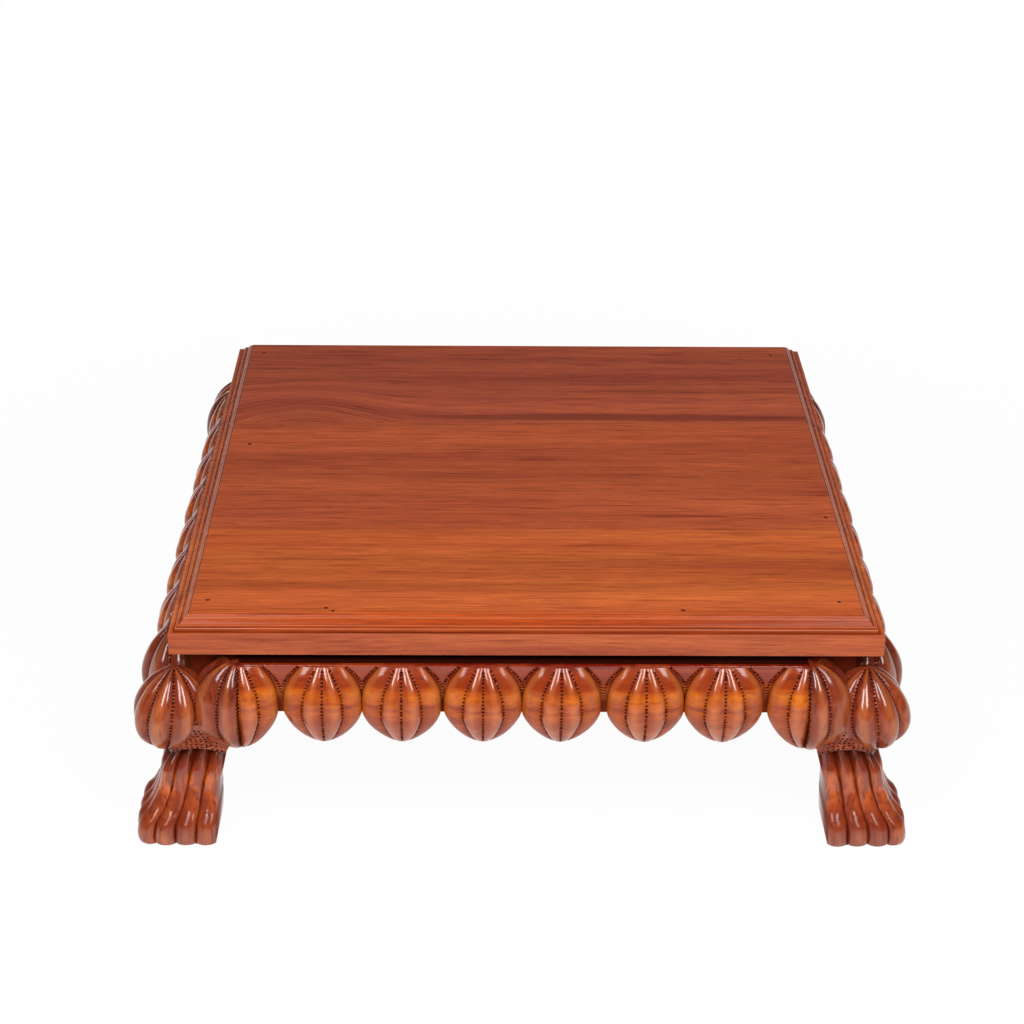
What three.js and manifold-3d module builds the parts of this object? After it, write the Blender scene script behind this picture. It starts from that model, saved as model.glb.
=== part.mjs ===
// Bajot, a square low table: a plank top on four carved aprons and four paw-footed legs.
// Millimetres, +Z up. The origin is on the floor under the middle of the table, the front faces -Y.
import * as THREE from 'three';
import { mergeVertices } from 'three/addons/utils/BufferGeometryUtils.js';
import Module from 'manifold-3d';

const wasm = await Module();
wasm.setup();

// Overall sizes
const tableHeight = 155;
const topSide = 457;
const topThickness = 24.2;
// The top sits a little to the right of the frame's middle
const topShift = 1.8;

// Fits: the gap where one piece is cut for another, and how far a cutter runs past a face
const fitGap = 0.3;
const overrun = 4;

// Top: three planks, counted from the front edge, with one moulding round all sides
const frontBoardWidth = 127;
const middleBoardWidth = 171;
const mouldingWidth = 13.1;
const mouldingDrop = 9.2;
// Moulding outline from the vertical edge to the field: shares of its width inward, of its drop upward
const mouldingShares = [
  [0, 0],
  [0.3, 0],
  [0.32, 0.2],
  [0.4, 0.24],
  [0.43, 0.4],
  [0.53, 0.41],
  [0.66, 0.54],
  [0.73, 0.73],
  [0.81, 0.78],
  [0.9, 0.91],
  [1, 1],
];

// Aprons: a plank with a flat face, a ledge under the top and ribbed bulbs carved on the front
const ledgeGap = 4.8;
const apronFaceProud = 4.4;
const apronThickness = 16;
const apronWebHeight = 35;
const seamInset = 45.8;
const bulbFootingDepth = 0.5;
const bulbSpacing = 52;
const bulbOverlap = 0.2;
const bulbReach = 17.2;
const bulbHeight = 57;
const bulbWaistDrop = 31;
const bulbCrownDrop = 0.8;
const bulbCrownProud = 1.1;
const bulbCrownHalfWidth = 14.5;
const endBulbExtraDrop = 5;
const ribGrooveDepth = 2.4;
const apronRibs = 10;

// Tenons on the apron ends
const tenonLength = 18;
const tenonThickness = 8;
const tenonHeight = 16;
const tenonBackShoulder = 3;
const tenonBottomRise = 3;

// Legs: a post under the top, a bulb on the corner, half a bulb beside each seam, a block behind them
const postWidth = 33;
const legBlockTopDrop = 18;
const legBlockBottomDrop = 60;
const legBlockInset = 2;
const legEndBulbInset = 1.5;
const legEndBulbHalfWidth = 33;
const legEndBulbReach = 25.5;
const legEndBulbHeight = 62;
const legEndBulbWaistDrop = 34;
const legEndBulbCrownHalfWidth = 9;
const legEndBulbCrownReach = 7;
const cornerBulbInset = 2;
const cornerBulbRadius = 26;
const cornerBulbTopDrop = 6;
const cornerBulbWaistDrop = 36;
const cornerBulbHeight = 54.5;
const cornerBulbRibs = 8;
const cornerBulbTipLean = -2;
const cornerBulbBottomLean = 3;

// Paw below the bulbs: how far its cuff is below the ledge, and its neck's outer and inner face
// against the edge of the top
const pawCuffDrop = 44.5;
const pawNeckProud = 2.5;
const pawNeckInset = 36.1;
const pawFootSpread = 24.3;
const pawFootInnerSpread = 7;
const pawInnerCut = 7;
const toeGrooveDepth = 4.2;
const toesPerFace = 4;
// Rings of the paw from sole to cuff: shares of its height, of the outer spread, of the inner spread
// (below zero it widens inward) and of the groove depth between toes
const pawShares = [
  [0, 0.95, 1, 0.8],
  [0.03, 1, 1, 0.95],
  [0.1, 0.99, 1, 1],
  [0.22, 0.78, 0.98, 0.9],
  [0.38, 0.5, 0.88, 0.75],
  [0.56, 0.3, 0.6, 0.75],
  [0.68, 0.18, 0.4, 0.7],
  [0.76, 0, 0.32, 0.5],
  [0.82, 0.1, 0.22, 0.08],
  [0.92, 0.26, -0.55, 0.05],
  [1, 0.4, -1, 0.05],
];

// Battens behind the aprons carry the top
const battenWidth = 20;
const battenHeight = 34;
const battenScrewsPerSide = 3;
const battenScrewSpacing = 120;
const battenScrewDrop = 24;
const screwHeadRadius = 3.6;
const screwHeadHeight = 2.6;
const screwShankRadius = 1.8;
const screwLength = 30;

// Nails through the top, with filled heads
const nailHeadRadius = 1.5;
const nailHeadHeight = 1.4;
const nailShankRadius = 1;
const nailLength = 38;
// Nail places: the corner nails by the half width of the top, the front nails across from its middle
// and back from its front edge, the side nails inward from its sides and by the joints of the planks
const cornerNailInset = 24.5;
const cornerNailBack = 29;
const frontNailPlaces = {
  left: { across: -128.8, back: 19.1 },
  left_second: { across: -124.3, back: 15.5 },
  right: { across: 100.2, back: 17.4 },
};
const sideNailPlaces = {
  left: { inFromSide: 27.6, beforeBackJoint: 38.3 },
  right: { inFromSide: 19.3, behindFrontJoint: 19.6 },
};

// Faceting of the carving
const pointsPerRib = 3;
const pointsPerToe = 3;
const cornerToePoints = 4;
const pinSides = 6;

// Places worked out from the sizes
const topHalf = topSide / 2;
const undersideZ = tableHeight - topThickness;
const ledgeZ = undersideZ - ledgeGap;
const seamPlace = topHalf - seamInset;
const apronFace = topHalf + apronFaceProud;
const apronBack = apronFace - apronThickness;
const battenBack = apronBack - battenWidth;
const bulbAxis = apronFace - bulbFootingDepth;
const bulbSteps = Math.round((seamPlace + seamPlace) / bulbSpacing);
const bulbPitch = (seamPlace + seamPlace) / bulbSteps;
const pawHeight = ledgeZ - pawCuffDrop;
const pawNeckOuter = topHalf + pawNeckProud;
const pawNeckInner = topHalf - pawNeckInset;
const cornerNailAcross = topHalf - cornerNailInset;
const backJoint = frontBoardWidth + middleBoardWidth;
const screwZ = undersideZ - battenScrewDrop;
const tenonBack = apronBack + tenonBackShoulder;
const tenonBottomZ = ledgeZ - apronWebHeight + tenonBottomRise;

// Finishes
const topFinish = { color: 0xb4562c, roughness: 0.3, metalness: 0 };
const carvedFinish = { color: 0x96401e, roughness: 0.22, metalness: 0 };
const battenFinish = { color: 0x4a2315, roughness: 0.7, metalness: 0 };
const nailFinish = { color: 0x3a1c14, roughness: 0.6, metalness: 0 };
const screwFinish = { color: 0x8d8a84, roughness: 0.4, metalness: 1 };

// A geometry with merged corners becomes a solid that can be joined and cut
const solidOf = (geometry) => {
  const bare = geometry.clone();
  bare.deleteAttribute('normal');
  bare.deleteAttribute('uv');
  const merged = mergeVertices(bare);
  return new wasm.Manifold(new wasm.Mesh({
    numProp: 3,
    vertProperties: new Float32Array(merged.attributes.position.array),
    triVerts: new Uint32Array(merged.index.array),
  }));
};

const geometryOf = (solid) => {
  const mesh = solid.getMesh();
  const geometry = new THREE.BufferGeometry();
  geometry.setAttribute('position', new THREE.BufferAttribute(mesh.vertProperties, mesh.numProp));
  geometry.setIndex(new THREE.BufferAttribute(mesh.triVerts, 1));
  geometry.computeVertexNormals();
  return geometry;
};

// A box given by its lowest and highest corners
const boxSolid = (low, high) => {
  const box = new THREE.BoxGeometry(high[0] - low[0], high[1] - low[1], high[2] - low[2]);
  box.translate((low[0] + high[0]) / 2, (low[1] + high[1]) / 2, (low[2] + high[2]) / 2);
  return solidOf(box);
};

// A closed body through rings of equal count, given from the lowest to the highest,
// each counterclockwise seen from above, with both ends capped from their middles
const ringGeometry = (rings) => {
  const count = rings[0].length;
  const middleOf = (ring) => ring
    .reduce((sum, point) => sum.add(point), new THREE.Vector3())
    .divideScalar(count);
  const points = [...rings.flat(), middleOf(rings[0]), middleOf(rings[rings.length - 1])];
  const bottomMiddle = points.length - 2;
  const topMiddle = points.length - 1;
  const topStart = count * (rings.length - 1);
  const index = [];
  for (let step = 0; step < count; step += 1) {
    const next = (step + 1) % count;
    for (let level = 0; level < rings.length - 1; level += 1) {
      const lower = level * count;
      const upper = lower + count;
      index.push(lower + step, lower + next, upper + next);
      index.push(lower + step, upper + next, upper + step);
    }
    index.push(bottomMiddle, next, step);
    index.push(topMiddle, topStart + step, topStart + next);
  }
  const geometry = new THREE.BufferGeometry().setFromPoints(points);
  geometry.setIndex(index);
  return geometry;
};

// How full a ribbed bulb is at an angle: 1 on the crest of a rib, less in the groove beside it
const ribFullness = (angle, ribAngle, radius) => {
  const turns = angle / ribAngle;
  const phase = turns - Math.floor(turns);
  return 1 - (ribGrooveDepth / radius) * (1 - Math.sqrt(Math.sin(Math.PI * phase)));
};

// Angles of the points once round a ribbed bulb, each groove among them
const ribSteps = (ribs) => {
  const total = ribs * pointsPerRib;
  return Array.from({ length: total }, (unused, step) => (step / total) * Math.PI * 2);
};

// Upper and lower outline of a bulb: how full it is at a share of the way from its waist
const upperReachShape = (share) => (1 - share ** 1.8) ** 0.9;
const upperWidthShape = (share) => (1 - share ** 3.5) ** 1.15;
const lowerShape = (share) => (1 - share ** 1.5) ** 0.66;
const onionShape = (share) => (1 - share ** 2) ** 0.72;
const shoulderShape = (share) => (1 - share ** 2.5) ** 0.7;
const roundShape = (share) => (1 - share ** 2) ** 0.48;
const upperRingShares = [0.5, 0.8, 1];
const tipRingShares = [0.5, 0.8, 0.96];
const shoulderRingShares = [0.5, 0.8, 0.94, 1];
const lowerRingShares = [0.96, 0.62, 0];

// Half width and reach of an apron's bulb at each ring, from its bottom to its crown at the ledge
const bulbRings = ({ halfWidth, reach, waistDrop, height, crownHalfWidth }) => {
  const waistZ = ledgeZ - waistDrop;
  const lowerHeight = height - waistDrop;
  const crownReach = apronFace - bulbAxis + bulbCrownProud;
  const lower = lowerRingShares.map((share) => ({
    z: waistZ - lowerHeight * share,
    halfWidth: halfWidth * lowerShape(share),
    reach: reach * lowerShape(share),
  }));
  const upper = upperRingShares.map((share) => ({
    z: waistZ + (waistDrop - bulbCrownDrop) * share,
    halfWidth: crownHalfWidth + (halfWidth - crownHalfWidth) * upperWidthShape(share),
    reach: crownReach + (reach - crownReach) * upperReachShape(share),
  }));
  return [...lower, ...upper];
};

// Front half of a ribbed bulb on the +Y side, with straight cheeks back to the plank's back
const apronBulb = (across, sizes) => {
  const ribAngle = (Math.PI * 2) / apronRibs;
  const angles = ribSteps(apronRibs)
    .map((angle) => (angle > Math.PI ? angle - Math.PI * 2 : angle))
    .filter((angle) => Math.abs(angle) < Math.PI / 2 - ribAngle / 4)
    .sort((a, b) => a - b);
  const frontAngles = [-Math.PI / 2, ...angles, Math.PI / 2];
  const rings = bulbRings(sizes).map(({ z, halfWidth, reach }) => {
    const front = frontAngles.map((angle) => {
      const fullness = ribFullness(angle, ribAngle, sizes.halfWidth);
      const side = across - halfWidth * fullness * Math.sin(angle);
      return new THREE.Vector3(side, bulbAxis + reach * fullness * Math.cos(angle), z);
    });
    return [
      new THREE.Vector3(across - halfWidth, apronBack, z),
      new THREE.Vector3(across + halfWidth, apronBack, z),
      ...front,
    ];
  });
  return solidOf(ringGeometry(rings));
};

// A bulb that is ribbed all round: sizes gives its half width and reach at a height, and it may lean
const roundBulb = ({ x, y, ribs, heights, sizes, lean = () => 0 }) => {
  const ribAngle = (Math.PI * 2) / ribs;
  return solidOf(ringGeometry(heights.map((z) => {
    const { halfWidth, reach } = sizes(z);
    return ribSteps(ribs).map((angle) => {
      const fullness = ribFullness(angle, ribAngle, Math.max(reach, ribGrooveDepth));
      return new THREE.Vector3(
        x + lean(z) - halfWidth * fullness * Math.sin(angle),
        y + lean(z) + reach * fullness * Math.cos(angle),
        z,
      );
    });
  })));
};

// The bulb at the corner of a leg: a pointed tip, and a bottom that leans outward
const makeCornerBulb = () => {
  const tipZ = ledgeZ - cornerBulbTopDrop;
  const waistZ = ledgeZ - cornerBulbWaistDrop;
  const bottomZ = tipZ - cornerBulbHeight;
  return roundBulb({
    x: topHalf - cornerBulbInset,
    y: topHalf - cornerBulbInset,
    ribs: cornerBulbRibs,
    heights: [
      ...lowerRingShares.map((share) => waistZ - (waistZ - bottomZ) * share),
      ...tipRingShares.map((share) => waistZ + (tipZ - waistZ) * share),
    ],
    sizes: (z) => {
      const size = cornerBulbRadius * (z < waistZ
        ? roundShape((waistZ - z) / (waistZ - bottomZ))
        : onionShape((z - waistZ) / (tipZ - waistZ)));
      return { halfWidth: size, reach: size };
    },
    lean: (z) => THREE.MathUtils.lerp(
      cornerBulbTipLean,
      cornerBulbBottomLean,
      (tipZ - z) / (tipZ - bottomZ),
    ),
  });
};

// The bulb that the seam cuts: broad shoulders and a flat crown at the ledge
const makeEndBulb = () => {
  const waistZ = ledgeZ - legEndBulbWaistDrop;
  const bottomZ = ledgeZ - legEndBulbHeight;
  return roundBulb({
    x: seamPlace,
    y: topHalf - legEndBulbInset,
    ribs: apronRibs,
    heights: [
      ...lowerRingShares.map((share) => waistZ - (waistZ - bottomZ) * share),
      ...shoulderRingShares.map((share) => waistZ + (ledgeZ - waistZ) * share),
    ],
    sizes: (z) => {
      const below = roundShape((waistZ - z) / (waistZ - bottomZ));
      const above = (z - waistZ) / (ledgeZ - waistZ);
      return z < waistZ
        ? { halfWidth: legEndBulbHalfWidth * below, reach: legEndBulbReach * below }
        : {
          halfWidth: THREE.MathUtils.lerp(
            legEndBulbCrownHalfWidth,
            legEndBulbHalfWidth,
            shoulderShape(above),
          ),
          reach: THREE.MathUtils.lerp(
            legEndBulbCrownReach,
            legEndBulbReach,
            upperReachShape(above),
          ),
        };
    },
  });
};

// The apron on the +Y side, running along X, with its end bulbs cut at the seams and a tenon at both ends
const makeApron = () => {
  const webBottomZ = ledgeZ - apronWebHeight;
  const end = seamPlace - fitGap;
  let apron = boxSolid([-end, apronBack, webBottomZ], [end, apronFace, ledgeZ]);
  for (let step = 0; step <= bulbSteps; step += 1) {
    const isEnd = step === 0 || step === bulbSteps;
    const extraDrop = isEnd ? endBulbExtraDrop : 0;
    apron = apron.add(apronBulb(step * bulbPitch - seamPlace, {
      halfWidth: bulbPitch / 2 + bulbOverlap,
      reach: bulbReach,
      waistDrop: bulbWaistDrop,
      height: bulbHeight + extraDrop,
      crownHalfWidth: bulbCrownHalfWidth,
    }));
  }
  const reachOut = bulbAxis + bulbReach + overrun;
  const blank = boxSolid([-end, apronBack - overrun, -overrun], [end, reachOut, tableHeight]);
  return apron.intersect(blank).add(tenonBar(0));
};

// The bar that both tenons of an apron are the ends of; a mortise is the same bar, wider all round
const tenonBar = (clearance) => {
  const half = seamPlace + tenonLength + clearance;
  return boxSolid(
    [-half, tenonBack - clearance, tenonBottomZ - clearance],
    [half, tenonBack + tenonThickness + clearance, tenonBottomZ + tenonHeight + clearance],
  );
};

// One ring of the paw, counterclockwise from its inner corner, for the corner where x and y are positive
const pawRing = ([heightShare, spreadShare, innerShare, grooveShare]) => {
  const z = pawHeight * heightShare;
  const outer = pawNeckOuter + pawFootSpread * spreadShare;
  const inner = pawNeckInner + pawFootInnerSpread * innerShare;
  const groove = toeGrooveDepth * grooveShare;
  const toeWidth = (outer - inner) / toesPerFace;
  const cornerStart = outer - toeWidth;
  const side = [];
  for (let toe = 0; toe < toesPerFace - 1; toe += 1) {
    for (let point = 0; point < pointsPerToe; point += 1) {
      const phase = point / pointsPerToe;
      const along = inner + toeWidth * (toe + phase);
      side.push([outer - groove * (1 - Math.sqrt(Math.sin(Math.PI * phase))), along]);
    }
  }
  side.push([outer - groove, cornerStart]);
  const corner = Array.from({ length: cornerToePoints }, (unused, point) => {
    const angle = (Math.PI / 2) * ((point + 0.5) / cornerToePoints);
    return [cornerStart + toeWidth * Math.cos(angle), cornerStart + toeWidth * Math.sin(angle)];
  });
  const front = side.map(([out, along]) => [along, out]).reverse();
  return [[inner, inner + pawInnerCut], [inner + pawInnerCut, inner], ...side, ...corner, ...front]
    .map(([x, y]) => new THREE.Vector3(x, y, z));
};

// The leg at the corner where x and y are positive, before its mortises and nail hole
const makeLegBlank = () => {
  const postEnd = seamPlace + postWidth;
  const blockEnd = topHalf - legBlockInset;
  const blockTopZ = ledgeZ - legBlockTopDrop;
  const blockBottomZ = ledgeZ - legBlockBottomDrop;
  const post = boxSolid([seamPlace, seamPlace, blockBottomZ], [postEnd, postEnd, undersideZ]);
  const block = boxSolid([seamPlace, seamPlace, blockBottomZ], [blockEnd, blockEnd, blockTopZ]);
  const paw = solidOf(ringGeometry(pawShares.map(pawRing)));
  const cornerBulb = makeCornerBulb();
  const endBulb = makeEndBulb();
  const sideBulb = solidOf(geometryOf(endBulb)
    .applyMatrix4(new THREE.Matrix4().makeRotationZ(-Math.PI / 2))
    .applyMatrix4(new THREE.Matrix4().makeTranslation(0, seamPlace + seamPlace, 0)));
  const farSide = topHalf + topHalf;
  const quarter = boxSolid([seamPlace, seamPlace, -overrun], [farSide, farSide, tableHeight]);
  return post.add(block).add(paw).add(cornerBulb).add(endBulb).add(sideBulb).intersect(quarter);
};

// A turned pin with a head: its outline is turned round the pin's own axis, with its head's top at zero
const pinGeometry = (headRadius, headHeight, shankRadius, length, clearance) => {
  const outline = [
    new THREE.Vector2(0, -length - clearance),
    new THREE.Vector2(shankRadius + clearance, -length - clearance),
    new THREE.Vector2(shankRadius + clearance, -headHeight - clearance),
    new THREE.Vector2(headRadius + clearance, -headHeight - clearance),
    new THREE.Vector2(headRadius + clearance, 0),
    new THREE.Vector2(0, 0),
  ];
  const pin = new THREE.LatheGeometry(outline, pinSides);
  return pin.rotateX(Math.PI / 2);
};

// Nails by name, where they stand on the top
const nailPlaces = () => {
  const fromFront = (back) => back - topHalf;
  const places = {};
  for (const [side, sign] of [['left', -1], ['right', 1]]) {
    places[`front_${side}_corner`] = [sign * cornerNailAcross, fromFront(cornerNailBack)];
    places[`back_${side}_corner`] = [sign * cornerNailAcross, -fromFront(cornerNailBack)];
  }
  const { left, right } = sideNailPlaces;
  const leftBack = backJoint - left.beforeBackJoint;
  const rightBack = frontBoardWidth + right.behindFrontJoint;
  places.left_side = [topShift - topHalf + left.inFromSide, fromFront(leftBack)];
  places.right_side = [topShift + topHalf - right.inFromSide, fromFront(rightBack)];
  for (const [name, { across, back }] of Object.entries(frontNailPlaces)) {
    places[`front_${name}`] = [topShift + across, fromFront(back)];
  }
  return places;
};

const nailAt = ([x, y], clearance) => (
  pinGeometry(nailHeadRadius, nailHeadHeight, nailShankRadius, nailLength, clearance)
    .translate(x, y, tableHeight));

const allNailHoles = Object.values(nailPlaces()).map((place) => {
  const hole = nailAt(place, fitGap);
  const mouth = new THREE.CylinderGeometry(
    nailHeadRadius + fitGap,
    nailHeadRadius + fitGap,
    overrun,
    pinSides,
  );
  mouth.rotateX(Math.PI / 2).translate(place[0], place[1], tableHeight + overrun / 2);
  return solidOf(hole).add(solidOf(mouth));
});

// A solid in the table's place, as a piece sees it that is later turned by a number of quarter turns
const turnedBack = (solid, quarterTurns) => solidOf(geometryOf(solid)
  .applyMatrix4(new THREE.Matrix4().makeRotationZ((-quarterTurns * Math.PI) / 2)));

// Nail holes in a piece that is later turned by a number of quarter turns
const cutNails = (piece, quarterTurns) => allNailHoles
  .reduce((rest, hole) => rest.subtract(turnedBack(hole, quarterTurns)), piece);

// The whole moulded top, a stack of square rings from the underside to the field
const makeMouldedTop = () => {
  const squareRing = (half, z) => [[-half, -half], [half, -half], [half, half], [-half, half]]
    .map(([x, y]) => new THREE.Vector3(topShift + x, y, z));
  const moulding = mouldingShares.map(([inShare, upShare]) => squareRing(
    topHalf - mouldingWidth * inShare,
    tableHeight - mouldingDrop + mouldingDrop * upShare,
  ));
  return solidOf(ringGeometry([squareRing(topHalf, undersideZ), ...moulding]));
};

// A batten on the +Y side, between the posts, behind the apron
const makeBatten = () => {
  const end = seamPlace - fitGap;
  return boxSolid([-end, battenBack, undersideZ - battenHeight], [end, apronBack, undersideZ]);
};

// Screws through a batten on the +Y side into its apron, with their heads on the inside
const screwAcross = Array.from({ length: battenScrewsPerSide }, (unused, step) => (
  (step - (battenScrewsPerSide - 1) / 2) * battenScrewSpacing));

const screwAt = (across, clearance) => (
  pinGeometry(screwHeadRadius, screwHeadHeight, screwShankRadius, screwLength, clearance)
    .rotateX(Math.PI / 2)
    .translate(across, battenBack, screwZ));

const cutScrews = (piece) => screwAcross.reduce((rest, across) => {
  const mouth = new THREE.CylinderGeometry(
    screwHeadRadius + fitGap,
    screwHeadRadius + fitGap,
    overrun,
    pinSides,
  );
  mouth.translate(across, battenBack - overrun / 2, screwZ);
  return rest.subtract(solidOf(screwAt(across, fitGap)).add(solidOf(mouth)));
}, piece);

const table = new THREE.Group();

const addPiece = (name, geometry, finish, quarterTurns = 0) => {
  const mesh = new THREE.Mesh(geometry, new THREE.MeshStandardMaterial(finish));
  mesh.name = name;
  mesh.rotation.z = (quarterTurns * Math.PI) / 2;
  table.add(mesh);
};

// Top boards
const drilledTop = cutNails(makeMouldedTop(), 0);
const boardEdges = [
  -topHalf - overrun,
  -topHalf + frontBoardWidth,
  -topHalf + backJoint,
  topHalf + overrun,
];
['front', 'middle', 'back'].forEach((place, step) => {
  const slice = boxSolid(
    [topShift - topHalf - overrun, boardEdges[step], undersideZ - overrun],
    [topShift + topHalf + overrun, boardEdges[step + 1], tableHeight + overrun],
  );
  addPiece(`top_board_${place}`, geometryOf(drilledTop.intersect(slice)), topFinish);
});

// Aprons, battens and their screws, side by side round the table
const drilledApron = cutScrews(makeApron());
const drilledBatten = cutScrews(makeBatten());
['back', 'left', 'front', 'right'].forEach((side, quarterTurns) => {
  addPiece(`apron_${side}`, geometryOf(drilledApron), carvedFinish, quarterTurns);
  const batten = cutNails(drilledBatten, quarterTurns);
  addPiece(`batten_${side}`, geometryOf(batten), battenFinish, quarterTurns);
  screwAcross.forEach((across, step) => {
    const name = `batten_screw_${side}_${step + 1}`;
    addPiece(name, screwAt(across, 0), screwFinish, quarterTurns);
  });
});

// Legs
const mortises = tenonBar(fitGap);
const sideMortises = turnedBack(mortises, 1);
const mortisedLeg = makeLegBlank().subtract(mortises).subtract(sideMortises);
['back_right', 'back_left', 'front_left', 'front_right'].forEach((corner, quarterTurns) => {
  addPiece(`leg_${corner}`, geometryOf(cutNails(mortisedLeg, quarterTurns)), carvedFinish, quarterTurns);
});

// Nails
for (const [name, place] of Object.entries(nailPlaces())) {
  addPiece(`top_nail_${name}`, nailAt(place, 0), nailFinish);
}

export default table;
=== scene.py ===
import math

import bpy
import numpy as np
from mathutils import Matrix, Vector


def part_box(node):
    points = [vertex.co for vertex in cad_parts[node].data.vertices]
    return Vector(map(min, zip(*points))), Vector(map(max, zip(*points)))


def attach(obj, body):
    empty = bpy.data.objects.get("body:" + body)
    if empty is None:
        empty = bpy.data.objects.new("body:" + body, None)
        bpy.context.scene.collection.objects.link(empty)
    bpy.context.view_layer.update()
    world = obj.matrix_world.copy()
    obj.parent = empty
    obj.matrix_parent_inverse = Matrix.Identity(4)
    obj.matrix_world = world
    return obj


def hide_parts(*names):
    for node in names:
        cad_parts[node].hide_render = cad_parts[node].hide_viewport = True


print("bajot: loading the frame")
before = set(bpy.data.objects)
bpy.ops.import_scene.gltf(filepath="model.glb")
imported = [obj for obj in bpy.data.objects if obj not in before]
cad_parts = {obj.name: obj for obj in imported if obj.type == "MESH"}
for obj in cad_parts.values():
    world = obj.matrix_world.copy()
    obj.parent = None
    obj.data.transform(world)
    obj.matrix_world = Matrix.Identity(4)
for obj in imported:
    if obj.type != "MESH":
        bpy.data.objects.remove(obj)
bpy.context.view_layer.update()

mm = 0.001
dice = np.random.default_rng(18)


def boxOf(*nodes):
    # Lowest and highest corner of some CAD nodes, in millimetres
    boxes = [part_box(node) for node in nodes]
    low = np.min([np.array(box[0]) for box in boxes], axis=0) / mm
    high = np.max([np.array(box[1]) for box in boxes], axis=0) / mm
    return low, high


topLow, topHigh = boxOf("top_board_front", "top_board_middle", "top_board_back")
apronLow, apronHigh = boxOf("apron_back")
undersideZ = topLow[2]
topHalf = (topHigh[0] - topLow[0]) / 2
ledgeZ = apronHigh[2]
apronBackY = apronLow[1]
seamX = boxOf("leg_back_right")[0][0]

sides = ["back", "left", "front", "right"]
corners = ["back_right", "back_left", "front_left", "front_right"]


# Shells: points, quads and triangles, with one number per point for each named shade
def shell(points, quads, tris, **shades):
    return {"points": points, "quads": quads, "tris": tris, "shades": shades}


def loft(rings, **shades):
    # Closed skin through stacked rings of points, capped at both ends from their middles
    levels, count = rings.shape[:2]
    points = rings.reshape(-1, 3)
    middles = rings[[0, -1]].mean(axis=1)
    step = np.arange(count)
    following = np.roll(step, -1)
    lower = np.arange(levels - 1)[:, None] * count
    upper = lower + count
    quads = np.stack(
        [lower + step, lower + following, upper + following, upper + step], axis=-1
    )
    last = (levels - 1) * count
    bottomMiddle = np.full(count, levels * count)
    caps = [
        np.stack([bottomMiddle, following, step], axis=-1),
        np.stack([bottomMiddle + 1, last + step, last + following], axis=-1),
    ]
    grown = {
        name: np.concatenate([shade.ravel(), [0, 0]]) for name, shade in shades.items()
    }
    return shell(
        np.concatenate([points, middles]), quads.reshape(-1, 4), np.concatenate(caps), **grown
    )


def mirrored(part):
    # The same shell on the other side of the diagonal between +X and +Y
    points = part["points"][:, [1, 0, 2]]
    return shell(points, part["quads"][:, ::-1], part["tris"][:, ::-1], **part["shades"])


def turned(points, quarterTurns):
    turn = np.array([[0, 1, 0], [-1, 0, 0], [0, 0, 1]], float)
    return points @ np.linalg.matrix_power(turn, quarterTurns)


handWaves = {"count": 5, "lengthShares": (0.7, 1.6)}


def wavering(points, waveLength, amount, draw):
    # Slow unevenness of hand work: a sum of a few long waves in random directions
    look = handWaves
    total = np.zeros(len(points))
    for _ in range(look["count"]):
        direction = draw.normal(size=3)
        direction /= np.linalg.norm(direction)
        length = waveLength * draw.uniform(*look["lengthShares"])
        phase = draw.uniform(0, 2 * math.pi)
        total += np.sin(points @ direction * 2 * math.pi / length + phase)
    return total * amount / look["count"]


def smoothStep(values, low, high):
    share = np.clip((values - low) / (high - low), 0, 1)
    return share * share * (3 - 2 * share)


def camelName(words):
    # leg_front_left becomes legFrontLeft
    first, *rest = words.split("_")
    return first + "".join(word.capitalize() for word in rest)


def addPiece(name, parts, material, node, sharpDegrees=42):
    # One object from some shells, riding on the table and standing for its CAD node
    points = np.concatenate([part["points"] for part in parts])
    starts = np.cumsum([0] + [len(part["points"]) for part in parts[:-1]])
    quads = np.concatenate([part["quads"] + start for part, start in zip(parts, starts)])
    tris = np.concatenate([part["tris"] + start for part, start in zip(parts, starts)])
    mesh = bpy.data.meshes.new(name)
    mesh.vertices.add(len(points))
    mesh.vertices.foreach_set("co", (points * mm).astype(np.float32).ravel())
    loops = np.concatenate([quads.ravel(), tris.ravel()])
    mesh.loops.add(len(loops))
    mesh.loops.foreach_set("vertex_index", loops.astype(np.int32))
    sizes = np.concatenate([np.full(len(quads), 4), np.full(len(tris), 3)])
    mesh.polygons.add(len(sizes))
    loopStarts = np.concatenate([[0], np.cumsum(sizes)[:-1]])
    mesh.polygons.foreach_set("loop_start", loopStarts.astype(np.int32))
    mesh.update(calc_edges=True)
    mesh.polygons.foreach_set("use_smooth", np.ones(len(sizes), bool))
    for shade in ("crease", "punch", "wear"):
        values = [part["shades"].get(shade, np.zeros(len(part["points"]))) for part in parts]
        attribute = mesh.attributes.new(shade, "FLOAT", "POINT")
        attribute.data.foreach_set("value", np.concatenate(values).astype(np.float32))
    mesh.set_sharp_from_angle(angle=math.radians(sharpDegrees))
    mesh.materials.append(material)
    piece = bpy.data.objects.new(name, mesh)
    bpy.context.scene.collection.objects.link(piece)
    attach(piece, "root")
    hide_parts(node)


# Shader helpers
patchyNoise = (3.0, 0.6)  # detail and roughness


def addNode(tree, kind, inputs=None, **settings):
    node = tree.nodes.new(kind)
    for key, value in settings.items():
        setattr(node, key, value)
    for key, value in (inputs or {}).items():
        if isinstance(value, bpy.types.NodeSocket):
            tree.links.new(value, node.inputs[key])
        else:
            node.inputs[key].default_value = value
    return node


def maths(tree, operation, first, second=0.0, third=0.0, clamp=False):
    inputs = {0: first, 1: second, 2: third}
    node = addNode(tree, "ShaderNodeMath", inputs, operation=operation, use_clamp=clamp)
    return node.outputs[0]


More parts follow.
